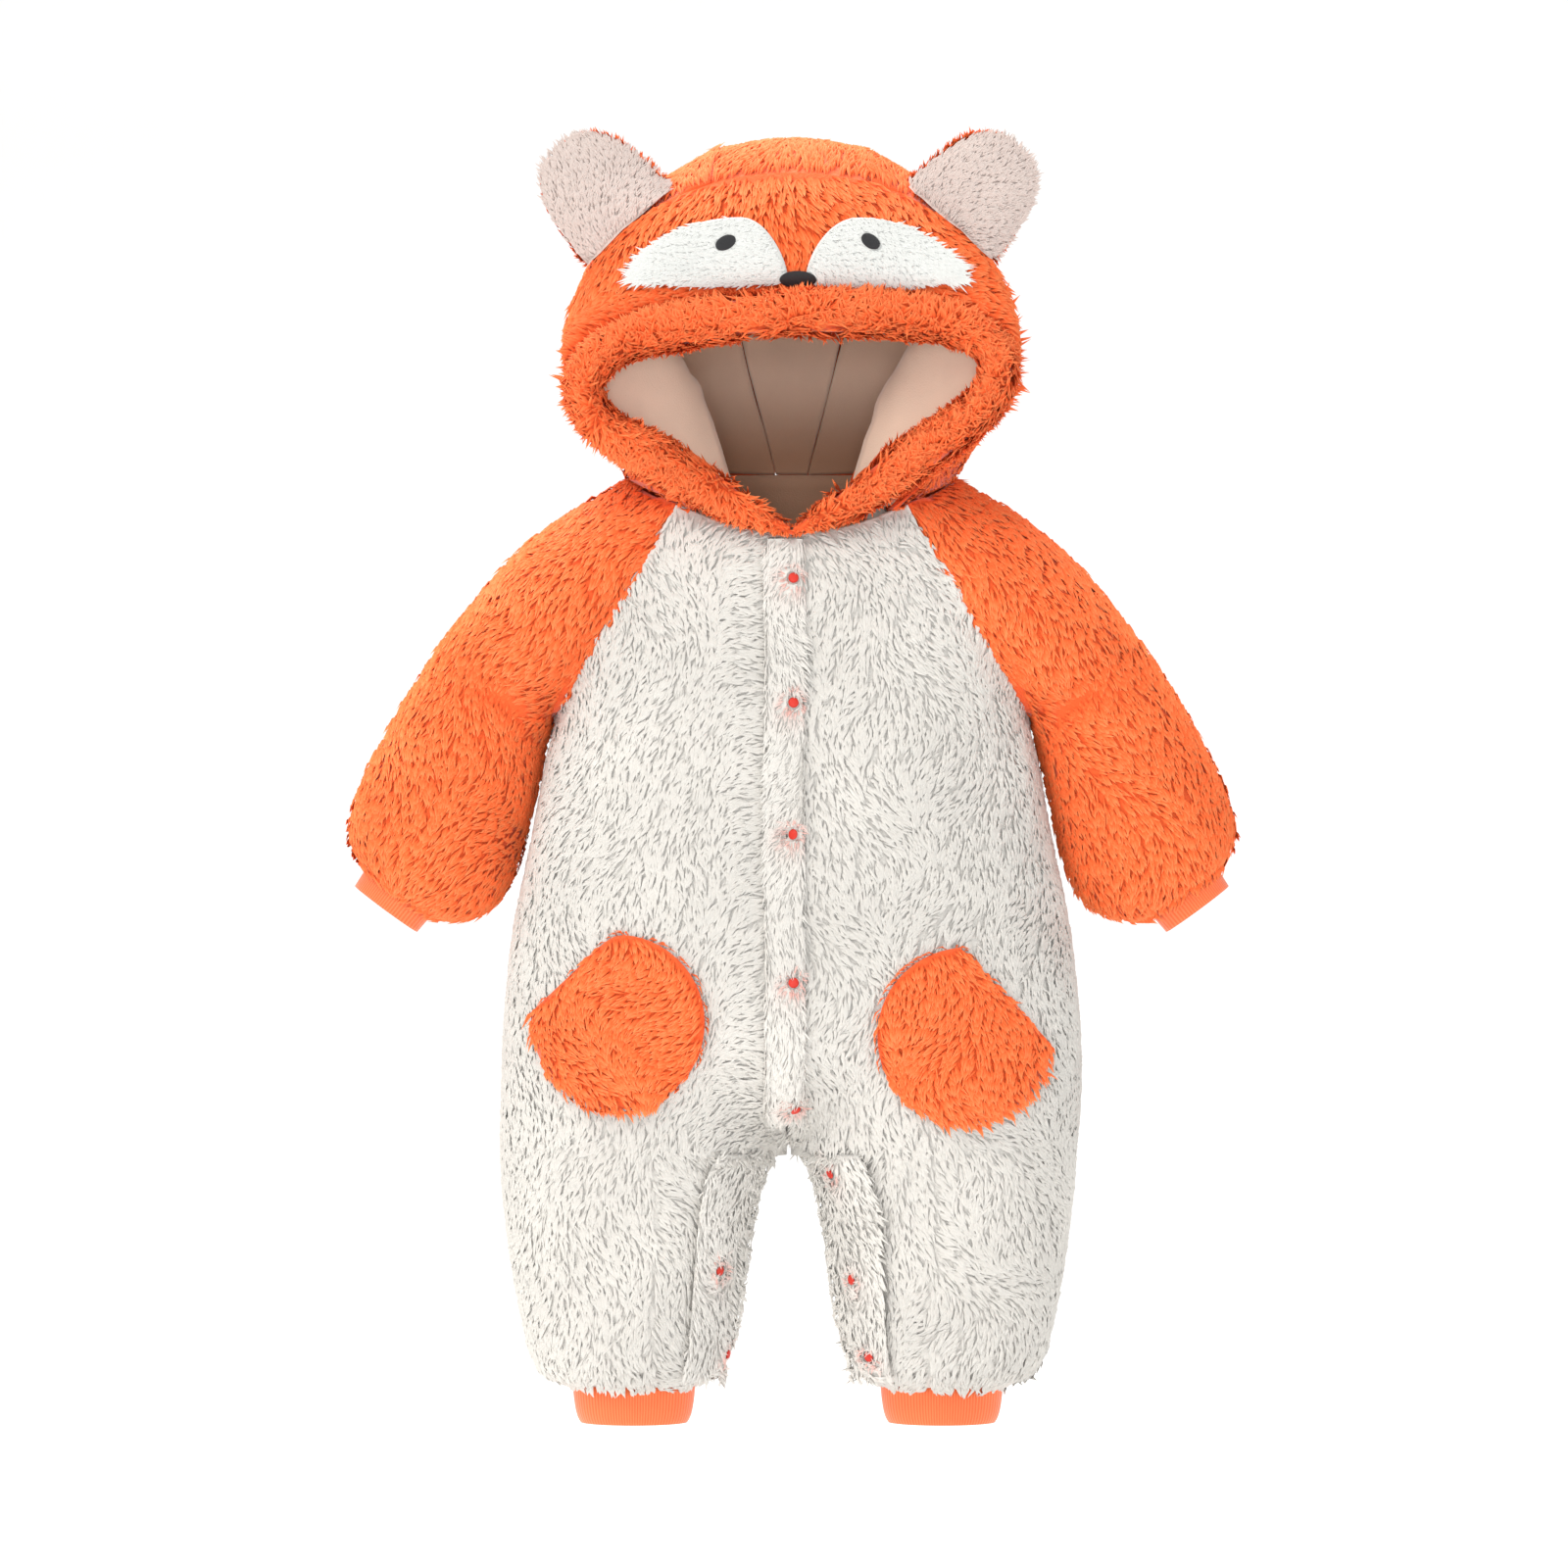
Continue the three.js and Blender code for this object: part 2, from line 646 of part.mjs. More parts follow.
// The hood is a run of hoops from the face opening over the crown to the back of the neck. Each hoop
// has its crown point, its half width at the cheek, the cheek's share of its height, the squareness of
// its top, how it tucks in below the cheek, its ends' place along the neck seam, and how far its sides
// bow back.
const hoodSizes = table(
  ["v", "y", "z", "half", "cheek", "square", "tuck", "neck", "bow"],
  [
    [0, -77, 118.5, 139, 0.613, 0.8, 1.2, 0.25, 5],
    [0.08, -82, 136, 140, 0.57, 0.82, 1.25, 0.28, 10],
    [0.2, -80, 167, 141, 0.5, 0.88, 1.3, 0.32, 13],
    [0.32, -62, 195, 141, 0.43, 0.95, 1.4, 0.37, 9],
    [0.45, -24, 219, 141.5, 0.36, 1, 1.5, 0.45, 2],
    [0.56, 18, 224, 140, 0.34, 1, 1.5, 0.53, 0],
    [0.67, 62, 209, 134, 0.36, 1, 1.4, 0.62, 4],
    [0.77, 98, 170, 124, 0.4, 1, 1.3, 0.7, 8],
    [0.86, 114, 120, 110, 0.45, 1, 1.2, 0.77, 10],
    [0.94, 104, 64, 90, 0.5, 1, 1.1, 0.83, 8],
  ],
);
const HOOD_CHEEK = 0.6; // the share of a hoop's run from crown to neck that lies above the cheek
const HOOD_SEAM = 0.32; // the seam over the crown that holds the ears
const HOOD_CENTRE = 0.132; // the seams beside the centre strip
const HOOD_LEAN = 0.045; // the face opening hangs lower on the viewer's left

function hoodPoint(w, v) {
  const side = w < 0 ? left : right;
  const run = Math.abs(w);
  const last = hoodSizes[hoodSizes.length - 1];
  const at = Math.min(v, last.v);
  const row = (name) => read(hoodSizes, "v", name, at);
  const end = neckPoint(side, row("neck"));
  const crownY = row("y");
  const crownZ = row("z");
  const cheek = row("cheek");
  const half = row("half");
  const square = row("square");
  let x;
  let height;
  if (run < HOOD_CHEEK) {
    const angle = ((run / HOOD_CHEEK) * Math.PI) / 2;
    x = half * Math.sin(angle) ** square;
    height = cheek + (1 - cheek) * Math.cos(angle) ** square;
  } else {
    const t = Math.max(0, 1 - (run - HOOD_CHEEK) / (1 - HOOD_CHEEK));
    const endX = Math.abs(end.x);
    x = endX + (half - endX) * Math.sin((t * Math.PI) / 2) ** row("tuck");
    height = cheek * t;
  }
  const y = mix(end.y, crownY, height) + row("bow") * 4 * height * (1 - height);
  let z = mix(end.z, crownZ, height);
  z += HOOD_LEAN * side * x * smooth(height / 0.4) * (1 - smooth(v / 0.3));
  const place = vec(side * x, y, z);
  if (v <= last.v) return place;
  const seam = neckPoint(side, mix(1, last.neck, run));
  return place.lerp(seam, Math.min(1, (v - last.v) / (1 - last.v)));
}

const hoodAway = (place) => vec(place.x, place.y - 15, clamp(place.z - 70, -25, 200));
const hoodNeckEdge = (w, v) => neckOut(hoodPoint(w, v));
const besideCentre = 10;
const hoodColumns = {
  left: steps(besideCentre, -1, -HOOD_CENTRE),
  centre: steps(4, -HOOD_CENTRE, HOOD_CENTRE),
  right: steps(besideCentre, HOOD_CENTRE, 1),
};
hoodColumns.all = [...hoodColumns.left, ...hoodColumns.centre.slice(1, -1), ...hoodColumns.right];
const faceRows = steps(5, 0, HOOD_SEAM);
const backRows = steps(10, HOOD_SEAM, 1);

function hoodPanel(name, finish, columns, rows, options = {}) {
  const atNeck = (w) => (Math.abs(w) === 1 ? hoodNeckEdge : undefined);
  return panel(name, finish, hoodPoint, {
    across: columns,
    up: rows,
    away: hoodAway,
    ...options,
    edges: {
      start: atNeck(columns[0]),
      end: atNeck(columns[columns.length - 1]),
      top: rows[rows.length - 1] === 1 ? hoodNeckEdge : undefined,
    },
  });
}
parts.add(hoodPanel("hood_face", "orange", hoodColumns.all, faceRows));
parts.add(hoodPanel("hood_centre", "orange", hoodColumns.centre, backRows));
for (const [word] of sides) {
  parts.add(hoodPanel(`hood_side_${word}`, "orange", hoodColumns[word], backRows));
}

// The hood's lining lies inside the plush and swells towards the rolled front edge that it is sewn to.
// Behind the opening its two sides hang inwards in a loose fold. The folds' edges are given from the
// front, by their height and their distance from the middle.
const LINING_DEPTH = PLUSH + 0.8;
const LINING_SWELL = 9;
const liningFold = table(
  ["z", "x"],
  [
    [-30, 14],
    [-18, 18],
    [6, 31],
    [42, 49],
    [89, 68],
    [125, 100],
    [160, 150],
  ],
);
const FOLD_START = -76; // the lining turns inwards here, just behind the front edge
const FOLD_AT = -18; // and this is where the fold's edge is
const FOLD_WIDE = 140; // half width at the start, wider than the hood
const FOLD_BACK = 0.4; // how fast the lining returns outwards behind the fold
const FOLD_ROUND = 9;
const FOLD_DROP = 0.34; // the folds hang lower, the further they come in
const FOLD_DROP_BELOW = 60;
function liningPoint(w, v) {
  const run = Math.abs(w);
  const within = clamp(w, -0.998, 0.998);
  const place = hoodPoint(w, v);
  const out = squareTo(hoodPoint, within, v).lerp(neckOut(place), smooth((run - 0.85) / 0.15)).normalize();
  place.addScaledVector(out, -(LINING_DEPTH + LINING_SWELL * Math.exp(-((v / 0.11) ** 2))));
  const side = w < 0 ? left : right;
  const x = place.x * side;
  const inwards = smooth((place.y - FOLD_START) / (FOLD_AT - FOLD_START));
  const edge = Math.min(FOLD_WIDE, read(liningFold, "z", "x", place.z));
  const limit = mix(FOLD_WIDE, edge, inwards) + FOLD_BACK * Math.max(0, place.y - FOLD_AT);
  const over = clamp(x - limit + FOLD_ROUND, 0, 2 * FOLD_ROUND);
  const held = Math.min(x, limit + FOLD_ROUND) - over ** 2 / (4 * FOLD_ROUND);
  place.x = side * held;
  place.z -= FOLD_DROP * (x - held) * smooth((FOLD_DROP_BELOW - place.z) / FOLD_DROP_BELOW);
  return place;
}
const liningRows = [...faceRows.slice(2), ...backRows.slice(1, -2), 1];
for (const word of ["centre", "left", "right"]) {
  parts.add(
    panel(`hood_lining_${word}`, "lining", liningPoint, {
      across: hoodColumns[word],
      up: liningRows,
      normal: (w, v) => squareTo(liningPoint, w, v),
      thick: LINING,
    }),
  );
}

// The body's lining shows through the hood's opening, inside the back of the neck.
const NECK_LINING_HALF = 47;
const NECK_LINING_LOW = -62;
const NECK_LINING_TOP = NECK_BACK + 4; // it reaches up to the hood's lining
parts.add(
  panel("neck_lining", "lining", (x, z) => bodyAt(x, z, back), {
    across: steps(8, -NECK_LINING_HALF, NECK_LINING_HALF),
    up: steps(3, NECK_LINING_LOW, NECK_LINING_TOP),
    away: () => vec(0, 1, 0),
    thick: LINING,
    rise: -LINING_DEPTH,
  }),
);

// A point of the body's outer surface at an x and a height, on the front or the back.
function bodyAt(x, z, face) {
  const side = x < 0 ? left : right;
  let low = 0;
  let high = 1;
  for (let k = 0; k < 40; k += 1) {
    const turn = (low + high) / 2;
    if (bodyPoint(side, face, turn, z).x * side > x * side) low = turn;
    else high = turn;
  }
  return bodyPoint(side, face, low, z);
}

// The front edge of the hood is a strip of longer pile rolled round the edge, from its seam with the
// face panel to its seam with the lining. Its middle line is given for one half, from the top centre
// round the corner and down to the front of the neck.
const rollLine = table(
  ["run", "x", "y", "z", "radius"],
  [
    [0, 0, -84, 105.5, 14.5],
    [0.12, 40, -83, 104.5, 14.5],
    [0.24, 77, -80, 99.5, 14],
    [0.33, 104, -80, 93, 13.5],
    [0.41, 121, -79.5, 81, 13],
    [0.47, 127, -79, 67, 13],
    [0.53, 123, -78, 52, 13],
    [0.6, 108, -77.5, 37, 13.5],
    [0.71, 79, -76.5, 20, 14],
    [0.79, 58, -74, 6, 13.5],
    [0.87, 38, -73, -7, 12],
    [0.94, 19, -73, -17.5, 8.5],
    [1, 0.3, -73, -26, 4.2],
  ],
);
const ROLL_WALL = 5;
const ROLL_HOLLOW = 0.25; // the least share of the radius that stays hollow, at the pointed ends
const ROLL_FROM = -60; // degrees from straight outwards, towards the front
const ROLL_TO = 240;
const ROLL_ROUND = 6;
const ROLL_HALF = [0, 0.09, 0.18, 0.27, 0.34, 0.4, 0.45, 0.5, 0.56, 0.63, 0.71, 0.79, 0.86, 0.93, 1];
function rollCentre(side, run) {
  const row = (name) => read(rollLine, "run", name, run);
  const x = side * row("x");
  const z = row("z") + HOOD_LEAN * x * smooth((row("z") + 20) / 50);
  return vec(x, row("y"), z);
}
function rollSection(side, run, radius) {
  const near = 1e-3;
  const centre = rollCentre(side, run);
  const ahead = rollCentre(side, Math.min(1, run + near)).sub(rollCentre(side, Math.max(0, run - near)));
  if (run === 0 || run === 1) ahead.z = 0;
  const outward = vec(-ahead.z * side, 0, ahead.x * side).normalize();
  return steps(ROLL_ROUND, ROLL_FROM, ROLL_TO).map((degrees) => {
    const angle = THREE.MathUtils.degToRad(degrees);
    return centre
      .clone()
      .addScaledVector(outward, radius * Math.cos(angle))
      .add(vec(0, -radius * Math.sin(angle), 0));
  });
}
const rollRuns = [
  ...ROLL_HALF.slice(1).reverse().map((run) => [left, run]),
  ...ROLL_HALF.map((run) => [right, run]),
];
const rollRadius = (run) => read(rollLine, "run", "radius", run);
const rollHollow = (run) => Math.max(rollRadius(run) - ROLL_WALL, ROLL_HOLLOW * rollRadius(run));
parts.add(
  wall(
    "hood_trim",
    "orange",
    rollRuns.map(([side, run]) => rollSection(side, run, rollRadius(run))),
    rollRuns.map(([side, run]) => rollSection(side, run, rollHollow(run))),
    false,
  ),
);

// The hood's outer surface at an x and a height on the front of the face panel.
function hoodAt(x, z) {
  let w = clamp((x / 140) * 0.5, -0.5, 0.5);
  let v = 0.15;
  for (let k = 0; k < 12; k += 1) {
    const near = 1e-3;
    const p = hoodPoint(w, v);
    const pw = hoodPoint(w + near, v).sub(p).divideScalar(near);
    const pv = hoodPoint(w, v + near).sub(p).divideScalar(near);
    const det = pw.x * pv.z - pv.x * pw.z;
    const dx = x - p.x;
    const dz = z - p.z;
    w += (dx * pv.z - dz * pv.x) / det;
    v = clamp(v + (dz * pw.x - dx * pw.z) / det, -0.02, 0.4);
  }
  return hoodPoint(w, v);
}

// A piece that lies on a surface: its rim is half as thick as its middle.
function applied(name, finish, surface, outline, count, options) {
  const { thick, middle, clear = LIFT, shares = [0.6, 1], pouch = 0, curve = surface } = options;
  const place = (share, k) => {
    const rim = outline(k / count);
    return [mix(middle[0], rim[0], share), mix(middle[1], rim[1], share)];
  };
  const layer = (height) => (share, k) => {
    const [x, z] = place(share, k);
    const near = 0.6;
    const across = curve(x + near, z).sub(curve(x - near, z));
    const up = curve(x, z + near).sub(curve(x, z - near));
    const n = across.cross(up).normalize();
    if (n.y > 0) n.negate();
    return surface(x, z).addScaledVector(n, height(share));
  };
  const under = (share) => clear + pouch * (1 - share * share);
  const top = layer((share) => under(share) + thick * (1 - 0.5 * share ** 4));
  return disc(name, finish, count, shares, top, layer(under));
}

// The face: two half-moon patches of short white pile, embroidered eyes, and a nose between them.
const PATCH_CLEAR = 1;
const facePatches = table(
  ["side", "x", "z", "half", "tall", "drop", "skew"],
  [
    [left, -48.5, 126.2, 46.5, 38, 3.5, 17],
    [right, 53.5, 127, 45.5, 37, 3.5, -13],
  ],
);
for (const patch of facePatches) {
  const outline = (share) => {
    const angle = 2 * Math.PI * share;
    const c = Math.cos(angle);
    const s = Math.sin(angle);
    const x = patch.x + patch.half * c + (s > 0 ? patch.skew * s * (1 - Math.abs(c)) : 0);
    return [x, patch.z + (s > 0 ? patch.tall * s ** 1.15 : patch.drop * s)];
  };
  const word = patch.side < 0 ? "left" : "right";
  parts.add(
    applied(`eye_patch_${word}`, "patch", hoodAt, outline, 24, {
      thick: APPLIQUE,
      clear: PATCH_CLEAR,
      middle: [patch.x, patch.z + 12],
      shares: [0.4, 0.75, 1],
    }),
  );
}
const stitched = table(
  ["name", "x", "z", "half", "tall", "tilt", "clear"],
  [
    ["eye_left", -40, 148, 6.7, 4.3, 28, PATCH_CLEAR + APPLIQUE + 0.5],
    ["eye_right", 47.5, 148.8, 6.4, 4.2, -35, PATCH_CLEAR + APPLIQUE + 0.5],
    ["nose", 3.6, 127, 11.5, 4.9, 0, PATCH_CLEAR + APPLIQUE + 0.4],
  ],
);
for (const mark of stitched) {
  const turn = THREE.MathUtils.degToRad(mark.tilt);
  const outline = (share) => {
    const a = mark.half * Math.cos(2 * Math.PI * share);
    const b = mark.tall * Math.sin(2 * Math.PI * share);
    return [mark.x + a * Math.cos(turn) - b * Math.sin(turn), mark.z + a * Math.sin(turn) + b * Math.cos(turn)];
  };
  parts.add(
    applied(mark.name, "black", hoodAt, outline, 16, {
      thick: 1,
      clear: mark.clear,
      middle: [mark.x, mark.z],
    }),
  );
}

// Patch pockets: a round patch whose upper outer part is cut straight for the hand.
const POCKET_RADIUS = 53;
const pockets = table(
  ["side", "x", "z", "from", "to"],
  [
    [left, -105, -324, 93, 175],
    [right, 104, -332, 93, -7],
  ],
);
const POCKET_ROUND = 26;
const POCKET_MOUTH = 5; // of the outline's steps, those along the straight mouth
// The place on the front panels as sewn, whose flat facets may stand out from the curve.
const fronts = sides.map(([word]) => parts.getObjectByName(`front_${word}`));
function frontAt(x, z) {
  const place = bodyAt(x, z, front);
  const mesh = fronts[x < 0 ? 0 : 1];
  const spot = mesh.geometry.attributes.position;
  const order = mesh.geometry.index;
  const [a, b, c] = [vec(0, 0, 0), vec(0, 0, 0), vec(0, 0, 0)];
  for (let k = 0; k < order.count; k += 3) {
    [a, b, c].forEach((corner, j) => corner.fromBufferAttribute(spot, order.getX(k + j)));
    const area = (b.x - a.x) * (c.z - a.z) - (c.x - a.x) * (b.z - a.z);
    const s = ((x - a.x) * (c.z - a.z) - (c.x - a.x) * (z - a.z)) / area;
    const t = ((b.x - a.x) * (z - a.z) - (x - a.x) * (b.z - a.z)) / area;
    if (!(s >= 0 && t >= 0 && s + t <= 1)) continue;
    place.y = Math.min(place.y, a.y + s * (b.y - a.y) + t * (c.y - a.y));
  }
  return place;
}
for (const pocket of pockets) {
  const sweep = (pocket.side < 0 ? -1 : 1) * (360 - Math.abs(pocket.to - pocket.from));
  const onArc = (degrees) => {
    const angle = THREE.MathUtils.degToRad(degrees);
    return [pocket.x + POCKET_RADIUS * Math.cos(angle), pocket.z + POCKET_RADIUS * Math.sin(angle)];
  };
  const outline = (share) => {
    const k = share * POCKET_ROUND;
    const arcSteps = POCKET_ROUND - POCKET_MOUTH;
    if (k <= arcSteps) return onArc(pocket.from + (sweep * k) / arcSteps);
    const t = (k - arcSteps) / POCKET_MOUTH;
    const a = onArc(pocket.from + sweep);
    const b = onArc(pocket.from);
    return [mix(a[0], b[0], t), mix(a[1], b[1], t)];
  };
  parts.add(
    applied(`pocket_${pocket.side < 0 ? "left" : "right"}`, "orange", frontAt, outline, POCKET_ROUND, {
      thick: PATCH,
      middle: [pocket.x, pocket.z],
      shares: [0.4, 0.75, 1],
      pouch: 2.4,
      curve: (x, z) => bodyAt(x, z, front),
    }),
  );
}

// The snap placket: a padded band down the front, and one along each inseam. Along a band u runs from
// its left edge to its right edge.
const acrossBand = [0, 0.12, 0.35, 0.65, 0.88, 1];
const PLACKET_LEFT = -15;
const PLACKET_RIGHT = 6.5;
const PLACKET_TOP = -31;
const PLACKET_LOW = -382;
const INSEAM_FROM = 0.695; // shares of the turn from the side seam to the inseam
const INSEAM_TO = 0.95;
const INSEAM_LOW = -545;
const INSEAM_TOP = -404;
const INSEAM_TAPER = 14; // each inseam band thins out over this height below its top
const BAND_RIM = 0.45; // a band's edge is this share of its thickness
const placketX = (u) => mix(PLACKET_LEFT, PLACKET_RIGHT, u);
const frontHeights = bodyRows(front).map((row) => row.inner);
const heightsFrom = (low, high) => frontHeights.filter((z) => z > low && z < high);
function inseamBand(side) {
  const curve = (u, z) => bodyPoint(side, front, mix(INSEAM_FROM, INSEAM_TO, u), z);
  return {
    place: curve,
    curve,
    thick: (z) => 3.4 * mix(BAND_RIM, 1, smooth((INSEAM_TOP - z) / INSEAM_TAPER)),
    up: heightsFrom(INSEAM_LOW, INSEAM_TOP),
    pit: 1.6,
  };
}
const bands = {
  placket: {
    place: (u, z) => frontAt(placketX(u), z),
    curve: (u, z) => bodyAt(placketX(u), z, front),
    thick: () => 4.5,
    up: [...heightsFrom(PLACKET_LOW, PLACKET_TOP), PLACKET_TOP],
    pit: 2,
  },
  inseam_placket_left: inseamBand(left),
  inseam_placket_right: inseamBand(right),
};
const bandHeight = (on, u, z) => {
  const padding = Math.sqrt(Math.sin(Math.PI * clamp(u, 0.02, 0.98)));
  return LIFT + on.thick(z) * mix(BAND_RIM, 1, padding);
};
const bandOut = (on, u, z) => normalAt(on.curve, u, z, vec(0, -1, 0));
function band(on) {
  const outer = [];
  const inner = [];
  for (const z of on.up) {
    const outerRow = [];
    const innerRow = [];
    for (const u of acrossBand) {
      const place = on.place(u, z);
      const n = bandOut(on, u, z);
      outerRow.push(place.clone().addScaledVector(n, bandHeight(on, u, z)));
      innerRow.push(place.clone().addScaledVector(n, LIFT));
    }
    outer.push(outerRow);
    inner.push(innerRow);
  }
  return wall("band", "white", outer, inner, false);
}

// Snap caps, pressed into the plackets' pile, so that each lies at the bottom of a round dimple. across
// is the share of the placket's width.
const SNAP_RADIUS = 3.4;
const SNAP_HEIGHT = 1.3;
const SNAP_CLEAR = 0.35;
const DIMPLE_RADIUS = 4.6;
const DIMPLE_ROUND = 10;
const CAP_ROUND = 10;
const capProfile = [
  new THREE.Vector2(0, 0),
  new THREE.Vector2(SNAP_RADIUS, 0),
  new THREE.Vector2(SNAP_RADIUS, SNAP_HEIGHT * 0.35),
  new THREE.Vector2(SNAP_RADIUS * 0.7, SNAP_HEIGHT * 0.9),
  new THREE.Vector2(0, SNAP_HEIGHT),
];
const snaps = table(
  ["on", "across", "z"],
  [
    ["placket", 0.77, -55],
    ["placket", 0.77, -131],
    ["placket", 0.7, -211],
    ["placket", 0.77, -300],
    ["placket", 0.77, -376],
    ["inseam_placket_right", 0.5, -418],
    ["inseam_placket_left", 0.34, -478],
    ["inseam_placket_left", 0.68, -531],
    ["inseam_placket_right", 0.43, -484],
    ["inseam_placket_right", 0.3, -531],
  ],
);
const standOn = (mesh, place, n, height) => {
  mesh.quaternion.setFromUnitVectors(vec(0, 1, 0), n);
  mesh.position.copy(place).addScaledVector(n, height);
  return mesh;
};
const dimples = { placket: [], inseam_placket_left: [], inseam_placket_right: [] };
snaps.forEach((snap, k) => {
  const on = bands[snap.on];
  const raised = (from) => (u, z) =>
    from(u, z).addScaledVector(bandOut(on, u, z), bandHeight(on, u, z));
  const n = normalAt(raised(on.curve), snap.across, snap.z, vec(0, -1, 0));
  const place = raised(on.place)(snap.across, snap.z);
  const cap = new THREE.Mesh(
    new THREE.LatheGeometry(capProfile, CAP_ROUND),
    new THREE.MeshStandardMaterial(finishes.snap),
  );
  cap.name = `snap_${k + 1}`;
  parts.add(standOn(cap, place, n, SNAP_CLEAR - on.pit));
  const hole = new THREE.Mesh(
    new THREE.CylinderGeometry(DIMPLE_RADIUS, DIMPLE_RADIUS, 4 * on.pit, DIMPLE_ROUND),
  );
  dimples[snap.on].push(solidOf(standOn(hole, place, n, on.pit)));
});
for (const [name, on] of Object.entries(bands)) {
  const solid = dimples[name].reduce((cloth, hole) => cloth.subtract(hole), solidOf(band(on)));
  parts.add(meshFrom(solid, name, "white"));
}

// Ears: a white front and an orange back, each a shallow padded dome, sewn into the seam over the crown
// and trimmed to the hood that they stand on.
const EAR_CLEAR = 0.5;
const hoodSpace = solidOf(
  hoodPanel("space", "orange", hoodColumns.all, [...faceRows, ...backRows.slice(1, -2)], {
    rise: EAR_CLEAR,
    thick: PLUSH + 26,
  }),
);
const ears = table(
  ["side", "baseX", "baseZ", "upX", "upZ", "tall", "y"],
  [
    [left, -99, 160, 51, 46, 66, -50],
    [right, 93, 159, -53, 48, 68, -50],
  ],
);
const EAR_HALF = 34;
const EAR_SQUARE = 0.75;
const EAR_ROUND = 22;
const EAR_DEPTH = 9; // how far each face of the ear stands from the seam between them
const EAR_BASE = -16; // the ear's foot before it is trimmed to the hood
for (const ear of ears) {
  const along = vec(ear.upX, 0, ear.upZ).normalize();
  const up = vec(-Math.abs(along.z) * -ear.side, 0, Math.abs(along.x)).normalize();
  const outline = (k) => {
    const angle = (2 * Math.PI * k) / EAR_ROUND;
    const a = EAR_HALF * signedPower(Math.cos(angle), EAR_SQUARE);
    const b = Math.sin(angle) > 0 ? ear.tall * Math.sin(angle) ** EAR_SQUARE : EAR_BASE * -Math.sin(angle);
    return [a, b];
  };
  for (const [faceWord, face, finish] of [["front", front, "ear"], ["back", back, "orange"]]) {
    const layer = (height) => (share, k) => {
      const [a, b] = outline(k);
      const full = vec(ear.baseX, ear.y, ear.baseZ)
        .addScaledVector(along, a * share)
        .addScaledVector(up, mix(ear.tall * 0.35, b, share));
      full.y += face * height(share);
      return full;
    };
    const dome = disc(
      "ear",
      finish,
      EAR_ROUND,
      [0.45, 0.82, 1],
      layer((share) => 0.2 + EAR_DEPTH * (1 - share ** 3) + 2.5),
      layer(() => 0.2),
    );
    const solid = solidOf(dome).subtract(hoodSpace).decompose().sort((p, q) => q.volume() - p.volume())[0];
    parts.add(meshFrom(solid, `ear_${faceWord}_${ear.side < 0 ? "left" : "right"}`, finish));
  }
}

export default parts;
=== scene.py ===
import math

import bmesh
import bpy
import numpy as np
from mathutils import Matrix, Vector
from mathutils.bvhtree import BVHTree


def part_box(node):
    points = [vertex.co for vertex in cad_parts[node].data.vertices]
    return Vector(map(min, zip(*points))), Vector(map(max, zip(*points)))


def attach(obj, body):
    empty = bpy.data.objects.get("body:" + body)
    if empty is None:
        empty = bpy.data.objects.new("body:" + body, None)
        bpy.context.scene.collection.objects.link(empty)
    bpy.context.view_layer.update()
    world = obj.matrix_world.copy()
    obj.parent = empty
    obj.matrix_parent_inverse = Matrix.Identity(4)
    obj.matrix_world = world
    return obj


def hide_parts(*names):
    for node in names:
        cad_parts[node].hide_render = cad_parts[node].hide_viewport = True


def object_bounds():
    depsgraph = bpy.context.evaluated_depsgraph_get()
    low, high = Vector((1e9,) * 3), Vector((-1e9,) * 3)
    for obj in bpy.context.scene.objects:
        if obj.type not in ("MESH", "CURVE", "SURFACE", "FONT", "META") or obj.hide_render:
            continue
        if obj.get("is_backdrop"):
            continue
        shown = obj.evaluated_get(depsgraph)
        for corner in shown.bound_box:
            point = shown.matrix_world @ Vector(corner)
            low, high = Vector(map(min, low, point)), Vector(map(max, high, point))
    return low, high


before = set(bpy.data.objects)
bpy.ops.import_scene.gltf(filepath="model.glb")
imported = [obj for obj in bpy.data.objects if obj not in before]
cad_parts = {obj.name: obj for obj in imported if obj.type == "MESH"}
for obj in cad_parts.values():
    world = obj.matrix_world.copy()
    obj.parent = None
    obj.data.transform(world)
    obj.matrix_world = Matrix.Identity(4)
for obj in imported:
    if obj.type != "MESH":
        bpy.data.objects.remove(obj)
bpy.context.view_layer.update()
scene = bpy.context.scene

# Camera and studio.
# The romper is seen level and straight from the front through a long lens, on a pale sweep, in
# soft light: a broad lamp high at the left, one at the camera, one high behind and a bright room.
CAMERA_AWAY = 3.6
VIEW_WIDE = 0.96
VIEW_DEPTH = 0.05
SENSOR = 36.0
camera = bpy.data.objects.new("camera", bpy.data.cameras.new("camera"))
scene.collection.objects.link(camera)
camera.location = (-0.0048, -CAMERA_AWAY, -0.18)
camera.rotation_euler = (math.radians(90), 0, 0)
camera.data.sensor_width = SENSOR
camera.data.lens = SENSOR * (CAMERA_AWAY - VIEW_DEPTH) / VIEW_WIDE
scene.camera = camera
scene.view_settings.view_transform = "Standard"


def srgb(red, green, blue):
    """A colour as seen on a screen, from 0 to 255, as the linear colour that a shader takes."""
    parts = [c / 255 for c in (red, green, blue)]
    return [c / 12.92 if c <= 0.04045 else ((c + 0.055) / 1.055) ** 2.4 for c in parts] + [1.0]


def lamp(name, place, aim, size, watts, colour):
    """Adds a square lamp, size metres wide, that shines from place towards aim."""
    data = bpy.data.lights.new(name, "AREA")
    data.size = size
    data.energy = watts
    data.color = srgb(*colour)[:3]
    light = bpy.data.objects.new(name, data)
    light.location = place
    light.rotation_euler = (Vector(aim) - Vector(place)).to_track_quat("-Z", "Y").to_euler()
    scene.collection.objects.link(light)


